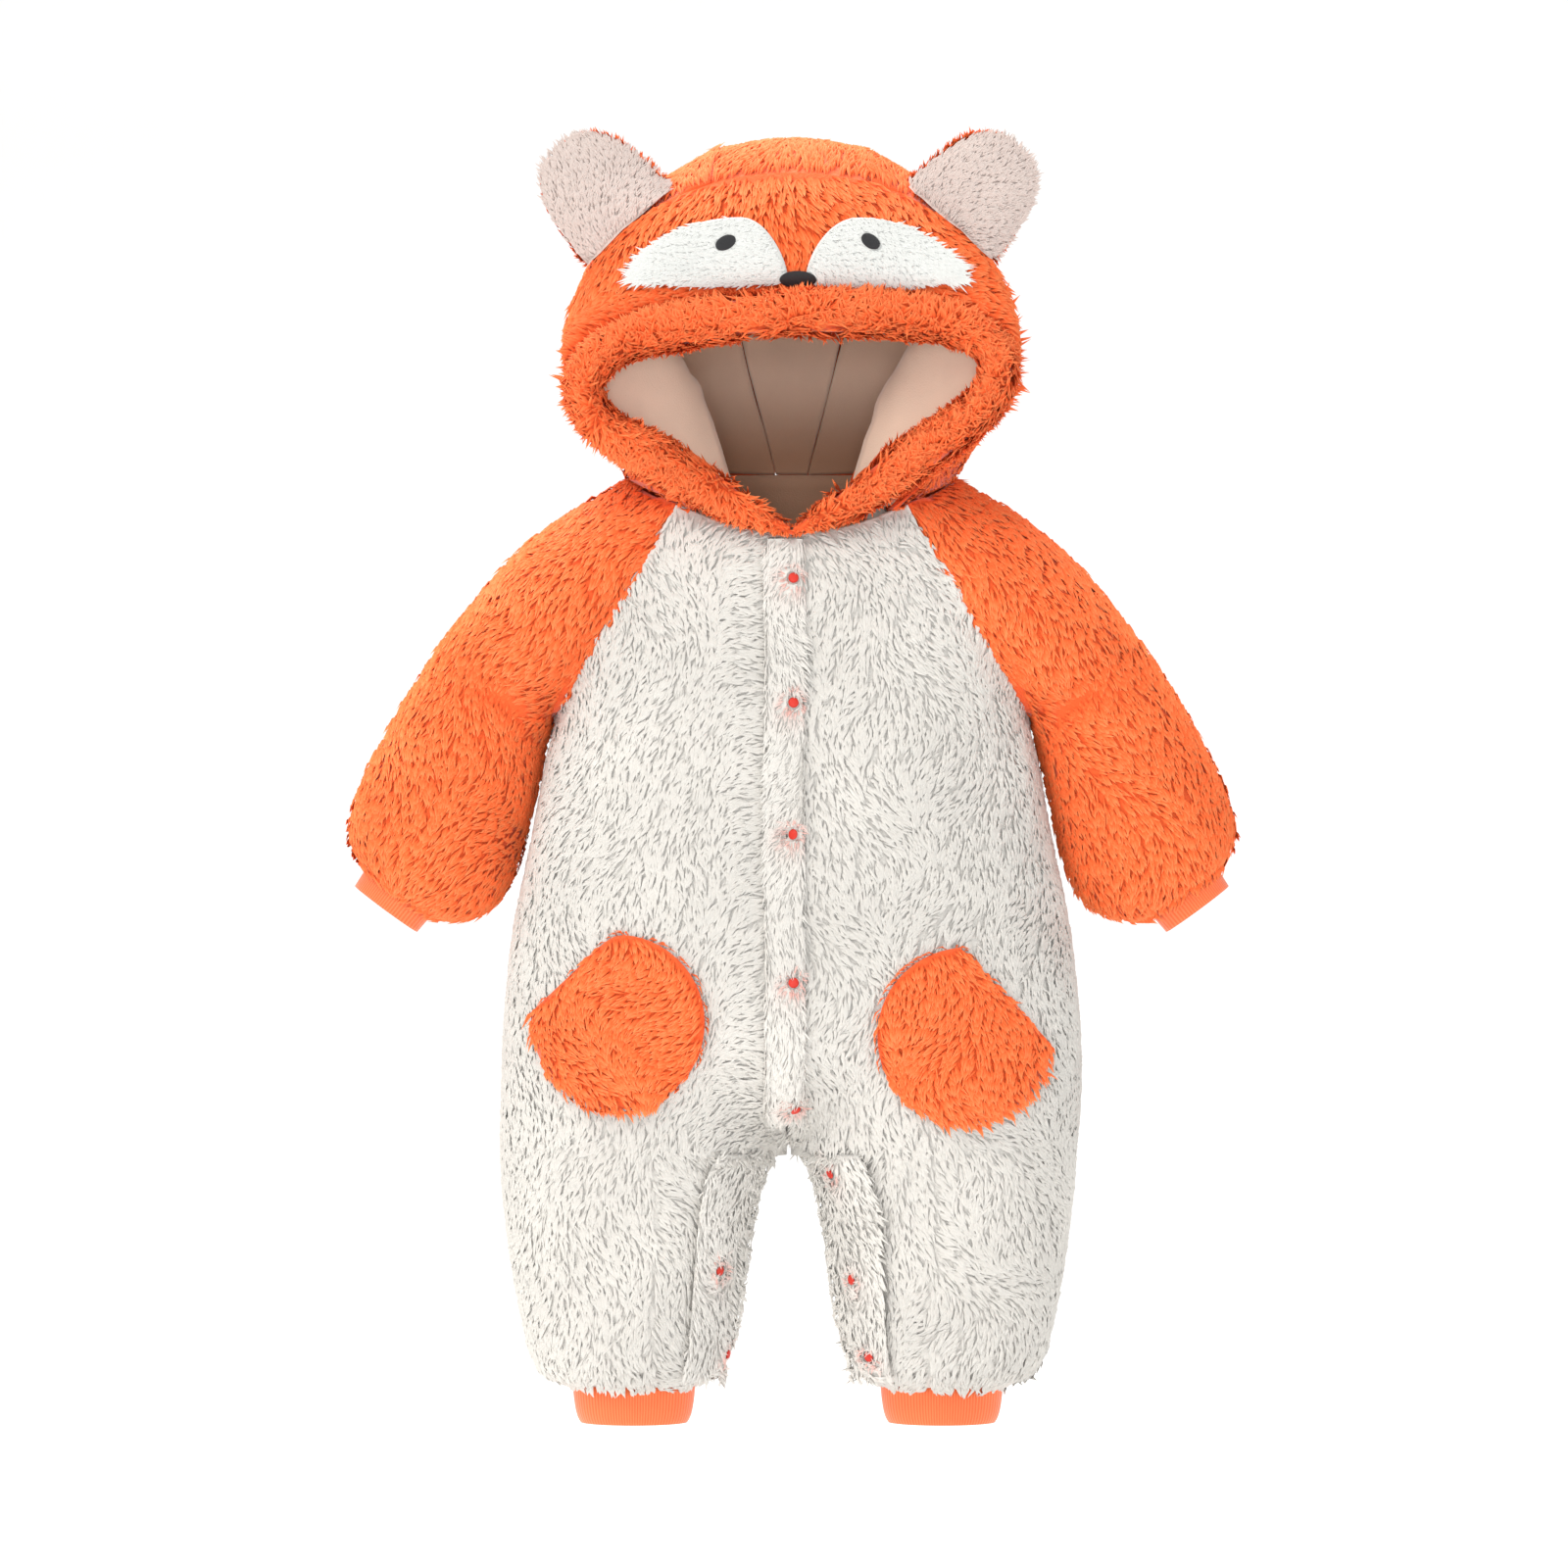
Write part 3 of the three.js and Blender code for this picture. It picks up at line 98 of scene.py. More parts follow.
lamp("key", (-1.5, -2.0, 1.6), (0, 0, -0.1), 1.4, 34, (255, 250, 243))
lamp("fill", (-0.1, -3.3, -0.15), (0, 0, -0.1), 0.9, 21, (252, 252, 255))
lamp("back_rim", (-0.4, 0.6, 1.9), (0, 0, 0.1), 1.2, 76, (255, 252, 246))
world = bpy.data.worlds.new("room")
world.use_nodes = True
world.node_tree.nodes["Background"].inputs["Color"].default_value = (1, 1, 1, 1)
world.node_tree.nodes["Background"].inputs["Strength"].default_value = 0.82
scene.world = world

FLOOR = -0.76
SWEEP_WIDE = 8
SWEEP_HIGH = 5
SWEEP_RADIUS = 1.6
FAR_EDGE = 3
bpy.ops.object.select_all(action="DESELECT")
bpy.ops.mesh.primitive_plane_add(size=SWEEP_WIDE, location=(0, 0, FLOOR))
floor = bpy.context.object
floor.name = "floor"
bpy.ops.object.mode_set(mode="EDIT")
bpy.ops.mesh.select_mode(type="EDGE")
bpy.ops.mesh.select_all(action="DESELECT")
bpy.ops.object.mode_set(mode="OBJECT")
for edge in floor.data.edges:
    edge.select = all(floor.data.vertices[i].co.y > FAR_EDGE for i in edge.vertices)
bpy.ops.object.mode_set(mode="EDIT")
bpy.ops.mesh.extrude_region_move(TRANSFORM_OT_translate={"value": (0, 0, SWEEP_HIGH)})
bpy.ops.mesh.select_all(action="DESELECT")
bpy.ops.object.mode_set(mode="OBJECT")
for edge in floor.data.edges:
    ends = [floor.data.vertices[i].co for i in edge.vertices]
    edge.select = all(end.y > FAR_EDGE and end.z < 1 for end in ends)
bpy.ops.object.mode_set(mode="EDIT")
bpy.ops.mesh.bevel(offset=SWEEP_RADIUS, segments=16)
bpy.ops.object.mode_set(mode="OBJECT")
bpy.ops.object.shade_smooth()
paper = bpy.data.materials.new("pale_sweep")
paper.use_nodes = True
paper_shader = paper.node_tree.nodes["Principled BSDF"]
paper_shader.inputs["Base Color"].default_value = (0.96, 0.96, 0.96, 1)
paper_shader.inputs["Roughness"].default_value = 0.9
floor.data.materials.append(paper)
floor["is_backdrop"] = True

# White body panels: two fronts and two backs of long-pile plush, cut from the neck to the ankles.
# Each is a wall of backing and wadding copied from its solid, with its face sunk by the depth of
# the pile, and the pile itself as locks of hair that lie down the body and swirl a little.
MM = 0.001
SIDES = (("left", -1), ("right", 1))
PILE_DEPTH = 2.9 * MM
LEAST_WALL = 1.2 * MM
WELD = 0.02 * MM
JUST_UNDER = 0.05 * MM
QUAD_TURN = math.radians(35)
QUAD_SHAPE = math.radians(60)
RIM_ANGLE = math.radians(50)
DRIFT_WAVES = 7


def select_only(piece):
    """Makes this piece the one that the next operators work on."""
    bpy.ops.object.select_all(action="DESELECT")
    piece.select_set(True)
    bpy.context.view_layer.objects.active = piece


def away_from(core):
    """Says which way is out at each point: away from the nearest point of a line of points."""
    core = np.array(core, float)

    def outwards(points):
        best = np.full(len(points), np.inf)
        near = np.zeros_like(points)
        starts, ends = (core[:-1], core[1:]) if len(core) > 1 else (core, core)
        for start, end in zip(starts, ends):
            along = end - start
            share = ((points - start) @ along / max(along @ along, 1e-12)).clip(0, 1)
            spot = start + share[:, None] * along
            far = np.linalg.norm(points - spot, axis=1)
            closer = far < best
            best[closer] = far[closer]
            near[closer] = spot[closer]
        return (points - near) / np.maximum(np.linalg.norm(points - near, axis=1), 1e-9)[:, None]

    return outwards


def unit(vectors):
    """The same directions, each one metre long."""
    return vectors / np.maximum(np.linalg.norm(vectors, axis=1), 1e-12)[:, None]


def triangles_of(mesh):
    """The mesh's points, its triangles, and each triangle's centre, area and outward normal."""
    points = np.zeros(len(mesh.vertices) * 3, np.float32)
    mesh.vertices.foreach_get("co", points)
    points = points.reshape(-1, 3).astype(float)
    mesh.calc_loop_triangles()
    corners = np.zeros(len(mesh.loop_triangles) * 3, np.int32)
    mesh.loop_triangles.foreach_get("vertices", corners)
    corners = corners.reshape(-1, 3)
    a, b, c = (points[corners[:, k]] for k in range(3))
    cross = np.cross(b - a, c - a)
    return points, corners, (a + b + c) / 3, np.linalg.norm(cross, axis=1) / 2, unit(cross)


def outer_face(mesh, outwards, least=0.3):
    """The triangles of a wall's outer face, and the normal of that face at each of its points."""
    points, corners, centres, areas, normals = triangles_of(mesh)
    outer = (normals * outwards(centres)).sum(1) > least
    point_normals = np.zeros_like(points)
    for k in range(3):
        np.add.at(point_normals, corners[outer][:, k], normals[outer] * areas[outer, None])
    return points, corners[outer], areas[outer], unit(point_normals), point_normals.any(1)


def cloth_wall(node, name, outwards, sink=0.0, levels=1):
    """A soft copy of a node's wall: welded, smoothed, its rims kept, its outer face sunk."""
    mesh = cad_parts[node].data.copy()
    mesh.materials.clear()
    piece = bpy.data.objects.new(name, mesh)
    scene.collection.objects.link(piece)
    shape = bmesh.new()
    shape.from_mesh(mesh)
    bmesh.ops.remove_doubles(shape, verts=shape.verts, dist=WELD)
    bmesh.ops.join_triangles(
        shape,
        faces=shape.faces,
        angle_face_threshold=QUAD_TURN,
        angle_shape_threshold=QUAD_SHAPE,
    )
    crease = shape.edges.layers.float.new("crease_edge")
    for edge in shape.edges:
        if len(edge.link_faces) == 2 and edge.calc_face_angle() > RIM_ANGLE:
            edge[crease] = 1.0
    shape.to_mesh(mesh)
    shape.free()
    smooth = piece.modifiers.new("smooth", "SUBSURF")
    smooth.levels = smooth.render_levels = levels
    select_only(piece)
    bpy.ops.object.modifier_apply(modifier="smooth")
    mesh = piece.data
    if sink:
        points, _, _, normals, on_face = outer_face(mesh, outwards)
        tree = BVHTree.FromPolygons(points.tolist(), triangles_of(mesh)[1].tolist())
        for k in np.flatnonzero(on_face):
            inwards = Vector(-normals[k])
            _, _, _, thick = tree.ray_cast(Vector(points[k]) + inwards * JUST_UNDER, inwards)
            points[k] += np.array(inwards) * min(sink, max(0.0, (thick or sink) - LEAST_WALL))
        mesh.vertices.foreach_set("co", points.astype(np.float32).ravel())
        mesh.update()
    select_only(piece)
    bpy.ops.object.shade_smooth_by_angle(angle=RIM_ANGLE)
    return piece


def drift(points, scale, seed):
    """Smooth noise over space, about -1.5 to 1.5, that changes over scale metres."""
    random = np.random.default_rng(seed)
    ways = random.normal(size=(DRIFT_WAVES, 3)) * (2 / scale)
    starts = random.uniform(0, 2 * math.pi, DRIFT_WAVES)
    return np.sin(points @ ways.T + starts).sum(1) / math.sqrt(DRIFT_WAVES / 2)


def hidden_under(nodes, reach, margin=4 * MM):
    """Says which points lie under these nodes, within reach along their normal and margin inside."""
    trees = []
    for node in nodes:
        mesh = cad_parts[node].data
        mesh.calc_loop_triangles()
        corners = [tuple(t.vertices) for t in mesh.loop_triangles]
        trees.append(BVHTree.FromPolygons([v.co.copy() for v in mesh.vertices], corners))

    def covered(point, way):
        return any(tree.ray_cast(point, way, reach)[0] is not None for tree in trees)

    def hidden(points, normals):
        found = np.zeros(len(points), bool)
        for k, (point, normal) in enumerate(zip(points, normals)):
            start, way = Vector(point), Vector(normal)
            if covered(start, way):
                first = way.orthogonal().normalized() * margin
                second = way.cross(first)
                around = (first, -first, second, -second)
                found[k] = all(covered(start + step, way) for step in around)
        return found

    return hidden


# A lock has a foot, three corners at its knee and a tip, in this order.
LOCK_FACES = np.array([(0, 2, 1), (0, 3, 2), (0, 1, 3), (1, 2, 4), (2, 3, 4), (3, 1, 4)])
LOCK_POINTS = 5
KNEE_ALONG = 0.4
KNEE_HIGH = 0.82
FOOT_DEPTH = 0.6 * MM
LOCK_ALONG = np.array([0, KNEE_ALONG, KNEE_ALONG, KNEE_ALONG, 1.0])
LOCK_ROUND = np.array([0.5, 0.1, 0.9, 0.5, 0.5])
TINTS = 97
SOFTNESS = 0.4
CELL_KEY = np.array([1, 10007, 100000007])


def scattered_roots(wall, outwards, count, random, least):
    """Places spread evenly over a wall's outer face, and the normals there."""
    points, corners, areas, normals, _ = outer_face(wall.data, outwards, least)
    walk = np.cumsum(areas)
    picks = (np.arange(count) + random.uniform(0, 1, count)) / count * walk[-1]
    chosen = corners[np.searchsorted(walk, picks).clip(0, len(corners) - 1)]
    share = random.uniform(0, 1, (count, 2))
    fold = share.sum(1) > 1
    share[fold] = 1 - share[fold]
    weights = np.column_stack([1 - share.sum(1), share])
    root = (points[chosen] * weights[:, :, None]).sum(1)
    return root, unit((normals[chosen] * weights[:, :, None]).sum(1))


def into_tufts(tip, size, seed):
    """The step from each tip to the middle of its tuft, in wandering cells of this size."""
    wander = np.column_stack([drift(tip, 0.02, seed + k) for k in range(3)])
    cell = np.floor((tip + 0.4 * size * wander) / size).astype(np.int64)
    _, group = np.unique(cell @ CELL_KEY, return_inverse=True)
    group = group.ravel()
    members = np.bincount(group)
    middle = np.column_stack([np.bincount(group, tip[:, k]) / members for k in range(3)])
    return middle[group] - tip


def lock_mesh(name, places, normals, tint):
    """A mesh of closed locks from the places and normals of their points, with a UV map named lock:
    U is the lock's tint, a whole number, plus a share of the way round, and V runs to the tip."""
    n = len(places)
    mesh = bpy.data.meshes.new(name)
    mesh.vertices.add(n * LOCK_POINTS)
    mesh.vertices.foreach_set("co", places.astype(np.float32).ravel())
    faces = (LOCK_FACES[None] + (np.arange(n) * LOCK_POINTS)[:, None, None]).reshape(-1, 3)
    mesh.loops.add(faces.size)
    mesh.loops.foreach_set("vertex_index", faces.astype(np.int32).ravel())
    mesh.polygons.add(len(faces))
    mesh.polygons.foreach_set("loop_start", np.arange(0, faces.size, 3, dtype=np.int32))
    mesh.update(calc_edges=True)
    across = (tint[:, None] + LOCK_ROUND[None]).ravel()
    along = np.tile(LOCK_ALONG, n)
    uv = np.column_stack([across[faces.ravel()], along[faces.ravel()]])
    mesh.uv_layers.new(name="lock").data.foreach_set("uv", uv.astype(np.float32).ravel())
    mesh.shade_smooth()
    mesh.normals_split_custom_set_from_vertices(normals.tolist())
    return mesh


def locks(name, wall, outwards, flow, count, seed, length=11, width=2.3, depth=2.7, **style):
    """Plush pile: closed spindles of hair that rise from a wall's outer face and lie along flow.

    length, width and depth are in millimetres. In style, swirl turns the flow in whorls of
    swirl_scale metres and stray turns each lock by itself. clump draws the tips together in tufts of
    clump_size millimetres, curl bends the locks sideways and lift raises the tips. keep says which
    roots are grown, grow how large a lock is at its place, and least how far hair grows round edges.
    """
    random = np.random.default_rng(seed)
    root, normal = scattered_roots(wall, outwards, count, random, style.get("least", 0.3))
    if "keep" in style:
        kept = style["keep"](root, normal)
        root, normal = root[kept], normal[kept]
    n = len(root)

    def uneven(spread, low, high):
        """A factor about 1 for each lock."""
        return random.normal(1, spread, n).clip(low, high)

    way = flow(root)
    way = unit(way - normal * (way * normal).sum(1)[:, None])
    side = np.cross(normal, way)
    turn = style.get("swirl", 0.5) * drift(root, style.get("swirl_scale", 0.05), seed + 1)
    turn += 0.35 * style.get("swirl", 0.5) * drift(root, 0.02, seed + 2)
    turn += random.normal(0, style.get("stray", 0.16), n)
    way, side = (
        way * np.cos(turn)[:, None] + side * np.sin(turn)[:, None],
        side * np.cos(turn)[:, None] - way * np.sin(turn)[:, None],
    )
    grow = style["grow"](root) if "grow" in style else np.ones(n)
    reach = length * MM * uneven(0.16, 0.6, 1.5) * grow
    high = depth * MM * uneven(0.13, 0.6, 1.25) * np.sqrt(grow)
    wide = width * MM * uneven(0.18, 0.55, 1.5) * np.sqrt(grow)
    curl = style.get("curl", 0.12) * reach * random.normal(0, 1, n)
    lift = style.get("lift", 0.9) * high * random.normal(1, 0.12, n)
    knee = root + way * (KNEE_ALONG * reach)[:, None] + normal * (KNEE_HIGH * high)[:, None]
    knee += side * (0.3 * curl)[:, None]
    tip = root + way * reach[:, None] + normal * lift[:, None] + side * curl[:, None]
    pull = into_tufts(tip, style.get("clump_size", 7) * MM, seed + 5) * style.get("clump", 0.4)
    tip += pull
    knee += 0.3 * pull
    foot = root - normal * FOOT_DEPTH
    knee_up = np.cross(unit(tip - foot), side)
    half = (0.5 * wide)[:, None]
    under = knee_up * half * 0.25
    ring = [-side * half - under, side * half - under, knee_up * half * 0.6]
    places = np.stack([foot] + [knee + corner for corner in ring] + [tip], 1)
    own = np.stack([normal] + [unit(corner) for corner in ring] + [knee_up], 1)
    soft = unit((own * (1 - SOFTNESS) + normal[:, None] * SOFTNESS).reshape(-1, 3))
    mesh = lock_mesh(name, places, soft, random.integers(0, TINTS, n))
    piece = bpy.data.objects.new(name, mesh)
    scene.collection.objects.link(piece)
    return piece


def node_in(tree, kind, place, **values):
    """Adds a shader node at its place in the tree and sets its properties."""
    made = tree.nodes.new(kind)
    made.location = place
    for key, value in values.items():
        setattr(made, key, value)
    return made


def shader_of(name, roughness, sheen, specular=0.2):
    """A new material with its node tree and its Principled shader."""
    material = bpy.data.materials.new(name)
    material.use_nodes = True
    tree = material.node_tree
    shader = tree.nodes["Principled BSDF"]
    shader.inputs["Roughness"].default_value = roughness
    shader.inputs["Sheen Weight"].default_value = sheen
    shader.inputs["Sheen Roughness"].default_value = 0.5
    shader.inputs["Specular IOR Level"].default_value = specular
    return material, tree, shader


def patchy(tree, link, scale, low, high):
    """Takes a colour a little darker and lighter in soft patches over the piece."""
    place = node_in(tree, "ShaderNodeTexCoord", (-900, -300))
    noise = node_in(tree, "ShaderNodeTexNoise", (-700, -300), noise_dimensions="4D")
    noise.inputs["Scale"].default_value = scale
    noise.inputs["Detail"].default_value = 3
    tree.links.new(place.outputs["Object"], noise.inputs["Vector"])
    spread = node_in(tree, "ShaderNodeMapRange", (-500, -300))
    spread.inputs["From Min"].default_value = 0.3
    spread.inputs["From Max"].default_value = 0.7
    spread.inputs["To Min"].default_value = low
    spread.inputs["To Max"].default_value = high
    tree.links.new(noise.outputs["Fac"], spread.inputs["Value"])
    shade = node_in(tree, "ShaderNodeHueSaturation", (-200, 0))
    tree.links.new(spread.outputs["Result"], shade.inputs["Value"])
    tree.links.new(link, shade.inputs["Color"])
    return shade.outputs["Color"]


def towards_the_face(tree):
    """The smoothed normal, turned towards the face's own where the two lie far apart, as on the
    underside of a lock, which would be black otherwise."""
    both = node_in(tree, "ShaderNodeNewGeometry", (-1300, -900))
    dot = node_in(tree, "ShaderNodeVectorMath", (-1100, -900), operation="DOT_PRODUCT")
    tree.links.new(both.outputs["Normal"], dot.inputs[0])
    tree.links.new(both.outputs["True Normal"], dot.inputs[1])
    missing = node_in(tree, "ShaderNodeMapRange", (-900, -900))
    missing.inputs["From Min"].default_value = 0.5
    missing.inputs["From Max"].default_value = -1.0
    missing.inputs["To Max"].default_value = 2.25
    tree.links.new(dot.outputs["Value"], missing.inputs["Value"])
    added = node_in(tree, "ShaderNodeVectorMath", (-700, -900), operation="SCALE")
    tree.links.new(both.outputs["True Normal"], added.inputs[0])
    tree.links.new(missing.outputs["Result"], added.inputs["Scale"])
    whole = node_in(tree, "ShaderNodeVectorMath", (-500, -900), operation="ADD")
    tree.links.new(both.outputs["Normal"], whole.inputs[0])
    tree.links.new(added.outputs["Vector"], whole.inputs[1])
    level = node_in(tree, "ShaderNodeVectorMath", (-350, -900), operation="NORMALIZE")
    tree.links.new(whole.outputs["Vector"], level.inputs[0])
    return level.outputs["Vector"]


def pile_material(name, root, middle, tip, vary=0.1, sheen=0.5):
    """Hair of a pile: darker at the root, painted shade deep in the pile, lighter at the tip, each
    lock its own tint and strands.
    """
    material, tree, shader = shader_of(name, 0.72, sheen)
    shader.inputs["Sheen Tint"].default_value = srgb(*tip)
    uv = node_in(tree, "ShaderNodeUVMap", (-1500, 100), uv_map="lock")
    parts = node_in(tree, "ShaderNodeSeparateXYZ", (-1300, 100))
    tree.links.new(uv.outputs["UV"], parts.inputs["Vector"])
    # From root to tip: the darker root is painted shade deep in the pile.
    ramp = node_in(tree, "ShaderNodeValToRGB", (-1000, 200))
    ramp.color_ramp.elements[0].color = srgb(*root)
    ramp.color_ramp.elements[1].color = srgb(*tip)
    ramp.color_ramp.elements.new(0.45).color = srgb(*middle)
    tree.links.new(parts.outputs["Y"], ramp.inputs["Fac"])
    whole = node_in(tree, "ShaderNodeMath", (-1100, -50), operation="FLOOR")
    tree.links.new(parts.outputs["X"], whole.inputs[0])
    tint = node_in(tree, "ShaderNodeTexWhiteNoise", (-900, -50), noise_dimensions="1D")
    tree.links.new(whole.outputs["Value"], tint.inputs["W"])
    spread = node_in(tree, "ShaderNodeMapRange", (-700, -50))
    spread.inputs["To Min"].default_value = 1 - vary
    spread.inputs["To Max"].default_value = 1 + vary * 0.6
    tree.links.new(tint.outputs["Value"], spread.inputs["Value"])
    own = node_in(tree, "ShaderNodeHueSaturation", (-450, 150))
    tree.links.new(spread.outputs["Result"], own.inputs["Value"])
    tree.links.new(ramp.outputs["Color"], own.inputs["Color"])
    tree.links.new(patchy(tree, own.outputs["Color"], 14, 0.93, 1.05), shader.inputs["Base Color"])
    strands = node_in(tree, "ShaderNodeTexNoise", (-700, -600), noise_dimensions="2D")
    strands.inputs["Scale"].default_value = 9
    strands.inputs["Detail"].default_value = 2
    stretch = node_in(tree, "ShaderNodeMapping", (-900, -600))
    stretch.inputs["Scale"].default_value = (1.0, 0.12, 1.0)
    tree.links.new(uv.outputs["UV"], stretch.inputs["Vector"])
    tree.links.new(stretch.outputs["Vector"], strands.inputs["Vector"])
    bump = node_in(tree, "ShaderNodeBump", (-250, -500))
    bump.inputs["Strength"].default_value = 0.35
    bump.inputs["Distance"].default_value = 0.4 * MM
    tree.links.new(strands.outputs["Fac"], bump.inputs["Height"])
    tree.links.new(towards_the_face(tree), bump.inputs["Normal"])
    tree.links.new(bump.outputs["Normal"], shader.inputs["Normal"])
    return material


def cloth_material(name, colour, grain, depth, sheen=0.3, roughness=0.85):
    """Cloth with a fine grain of its own: grain is its size and depth its height, in millimetres."""
    material, tree, shader = shader_of(name, roughness, sheen)
    flat = node_in(tree, "ShaderNodeRGB", (-500, 200))
    flat.outputs["Color"].default_value = srgb(*colour)
    tree.links.new(patchy(tree, flat.outputs["Color"], 20, 0.92, 1.05), shader.inputs["Base Color"])
    place = node_in(tree, "ShaderNodeTexCoord", (-900, -700))
    fine = node_in(tree, "ShaderNodeTexNoise", (-700, -700))
    fine.inputs["Scale"].default_value = 1000 / grain
    fine.inputs["Detail"].default_value = 3
    tree.links.new(place.outputs["Object"], fine.inputs["Vector"])
    bump = node_in(tree, "ShaderNodeBump", (-250, -600))
    bump.inputs["Strength"].default_value = 0.7
    bump.inputs["Distance"].default_value = depth * MM
    tree.links.new(fine.outputs["Fac"], bump.inputs["Height"])
    tree.links.new(bump.outputs["Normal"], shader.inputs["Normal"])
    return material


def add_to_part(piece, slot, material, *nodes):
    """Puts a piece on the one body, and in place of its node if it stands for one.
    Its slot is not used.
    """
    piece.data.materials.append(material)
    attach(piece, "root")
    if nodes:
        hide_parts(*nodes)


white_pile = pile_material("white_pile", (215, 212, 206), (213, 210, 204), (217, 215, 210), 0.03)
white_backing = cloth_material("white_backing", (220, 217, 211), 1.6, 0.8)
LEG_X = 0.097
CROTCH_Z = -0.4
INSIDE_OF_LEG = 0.085
PLACKET_EDGE = 0.016
body_core = {
    -1: [(0, 0, 0.1), (0, 0, -0.36), (-LEG_X, 0, CROTCH_Z - 0.03), (-LEG_X, 0, -0.6)],
    1: [(0, 0, 0.1), (0, 0, -0.36), (LEG_X, 0, CROTCH_Z - 0.03), (LEG_X, 0, -0.6)],
}


def down_the_body(points):
    """Down, and a little outwards."""
    away = np.sign(points[:, 0]) * 0.12
    return np.column_stack([away, np.zeros(len(points)), -np.ones(len(points))])


def round_the_bands(points):
    """Down the body, but sideways at the placket's left edge, and inside the legs towards the bands
    that close them."""
    way = down_the_body(points)
    inner = (points[:, 2] < CROTCH_Z) & (np.abs(points[:, 0]) < INSIDE_OF_LEG)
    way[inner, 0] = -0.6 * np.sign(points[inner, 0])
    beside = (points[:, 0] < 0) & (points[:, 1] < 0) & (points[:, 2] > CROTCH_Z)
    way[beside, 0] -= 2.4 * np.exp(-(((points[beside, 0] + PLACKET_EDGE) / PLACKET_EDGE) ** 2))
    return way


def all_but(hidden):
    """Says which roots are grown, where some of them are hidden."""
    return lambda points, normals: ~hidden(points, normals)


panels = (
    # face, cut, share of it, locks
    ("front", (0.24, 0.62), 0.75, 18800),
    ("back", (0.24, 0.64), 0.75, 11500),
)
for word, side in SIDES:
    outwards = away_from(body_core[side])
    under_others = hidden_under(["placket", f"inseam_placket_{word}", f"pocket_{word}"], 16 * MM)
    for face, flat, share, count in panels:
        node = f"{face}_{word}"
        wall = cloth_wall(node, f"{node}_cloth", outwards, sink=PILE_DEPTH)
        style = {"keep": all_but(under_others)} if face == "front" else {}
        pile = locks(
            f"{node}_pile", wall, outwards, round_the_bands, count, 11 + (side > 0),
            depth=2.5, swirl=0.42, lift=0.8, **style,
        )
        add_to_part(wall, "white_plush", white_backing, node)
        add_to_part(pile, "white_plush", white_pile)

# Orange sleeves: a raglan sleeve each side, cut as a front and a back half from the neck to the
# wrist. The pile lies along the arm and hides the seams over the arm and under it.
orange_pile = pile_material("orange_pile", (244, 92, 42), (248, 108, 54), (255, 148, 92), 0.05)
orange_backing = cloth_material("orange_backing", (244, 98, 46), 1.6, 0.8)
arm_core = np.array([(0.083, 0, 0.0), (0.183, 0, -0.115), (0.218, 0, -0.206), (0.245, 0, -0.25)])
halves = (
    # half, locks, their length and lift
    ("front", 7000, 11, 0.75),
    ("back", 5000, 9, 0.4),
)
for word, side in SIDES:
    mirror = np.array([side, 1, 1])
    outwards = away_from(arm_core * mirror)

    def along_the_arm(points):
        return np.tile((arm_core[-1] - arm_core[0]) * mirror, (len(points), 1))

    for half, count, length, lift in halves:
        node = f"sleeve_{half}_{word}"
        wall = cloth_wall(node, f"{node}_cloth", outwards, sink=PILE_DEPTH)
        pile = locks(
            f"{node}_pile", wall, outwards, along_the_arm, count, 21 + (side > 0), length=length,
            depth=2.5, swirl=0.36, lift=lift,
        )
        add_to_part(wall, "orange_plush", orange_backing, node)
        add_to_part(pile, "orange_plush", orange_pile)

# Cuffs: tubes of doubled orange rib jersey, sewn inside the gathered ends of the legs and sleeves.
# They are smooth beside the plush, with fine ribs that run along the limb.
RIB_PITCH = 1.9 * MM


def around_map(piece, start, end, pitch):
    """A UV map named around: U counts ribs round the line from start to end, V runs along it."""
    start, end = np.array(start), np.array(end)
    axis = (end - start) / np.linalg.norm(end - start)
    across = np.cross(axis, [0, 1, 0])
    across /= np.linalg.norm(across)
    mesh = piece.data
    place = triangles_of(mesh)[0] - start
    turn = np.arctan2(place @ np.cross(axis, across), place @ across) / (2 * math.pi)
    radius = np.linalg.norm(place - np.outer(place @ axis, axis), axis=1).mean()
    ribs = round(2 * math.pi * radius / pitch)
    layer = mesh.uv_layers.new(name="around")
    for face in mesh.polygons:
        turns = np.array([turn[v] for v in face.vertices])
        if np.ptp(turns) > 0.5:
            turns[turns < 0] += 1
        for loop, share, vertex in zip(face.loop_indices, turns, face.vertices):
            layer.data[loop].uv = (share * ribs, place[vertex] @ axis / pitch)


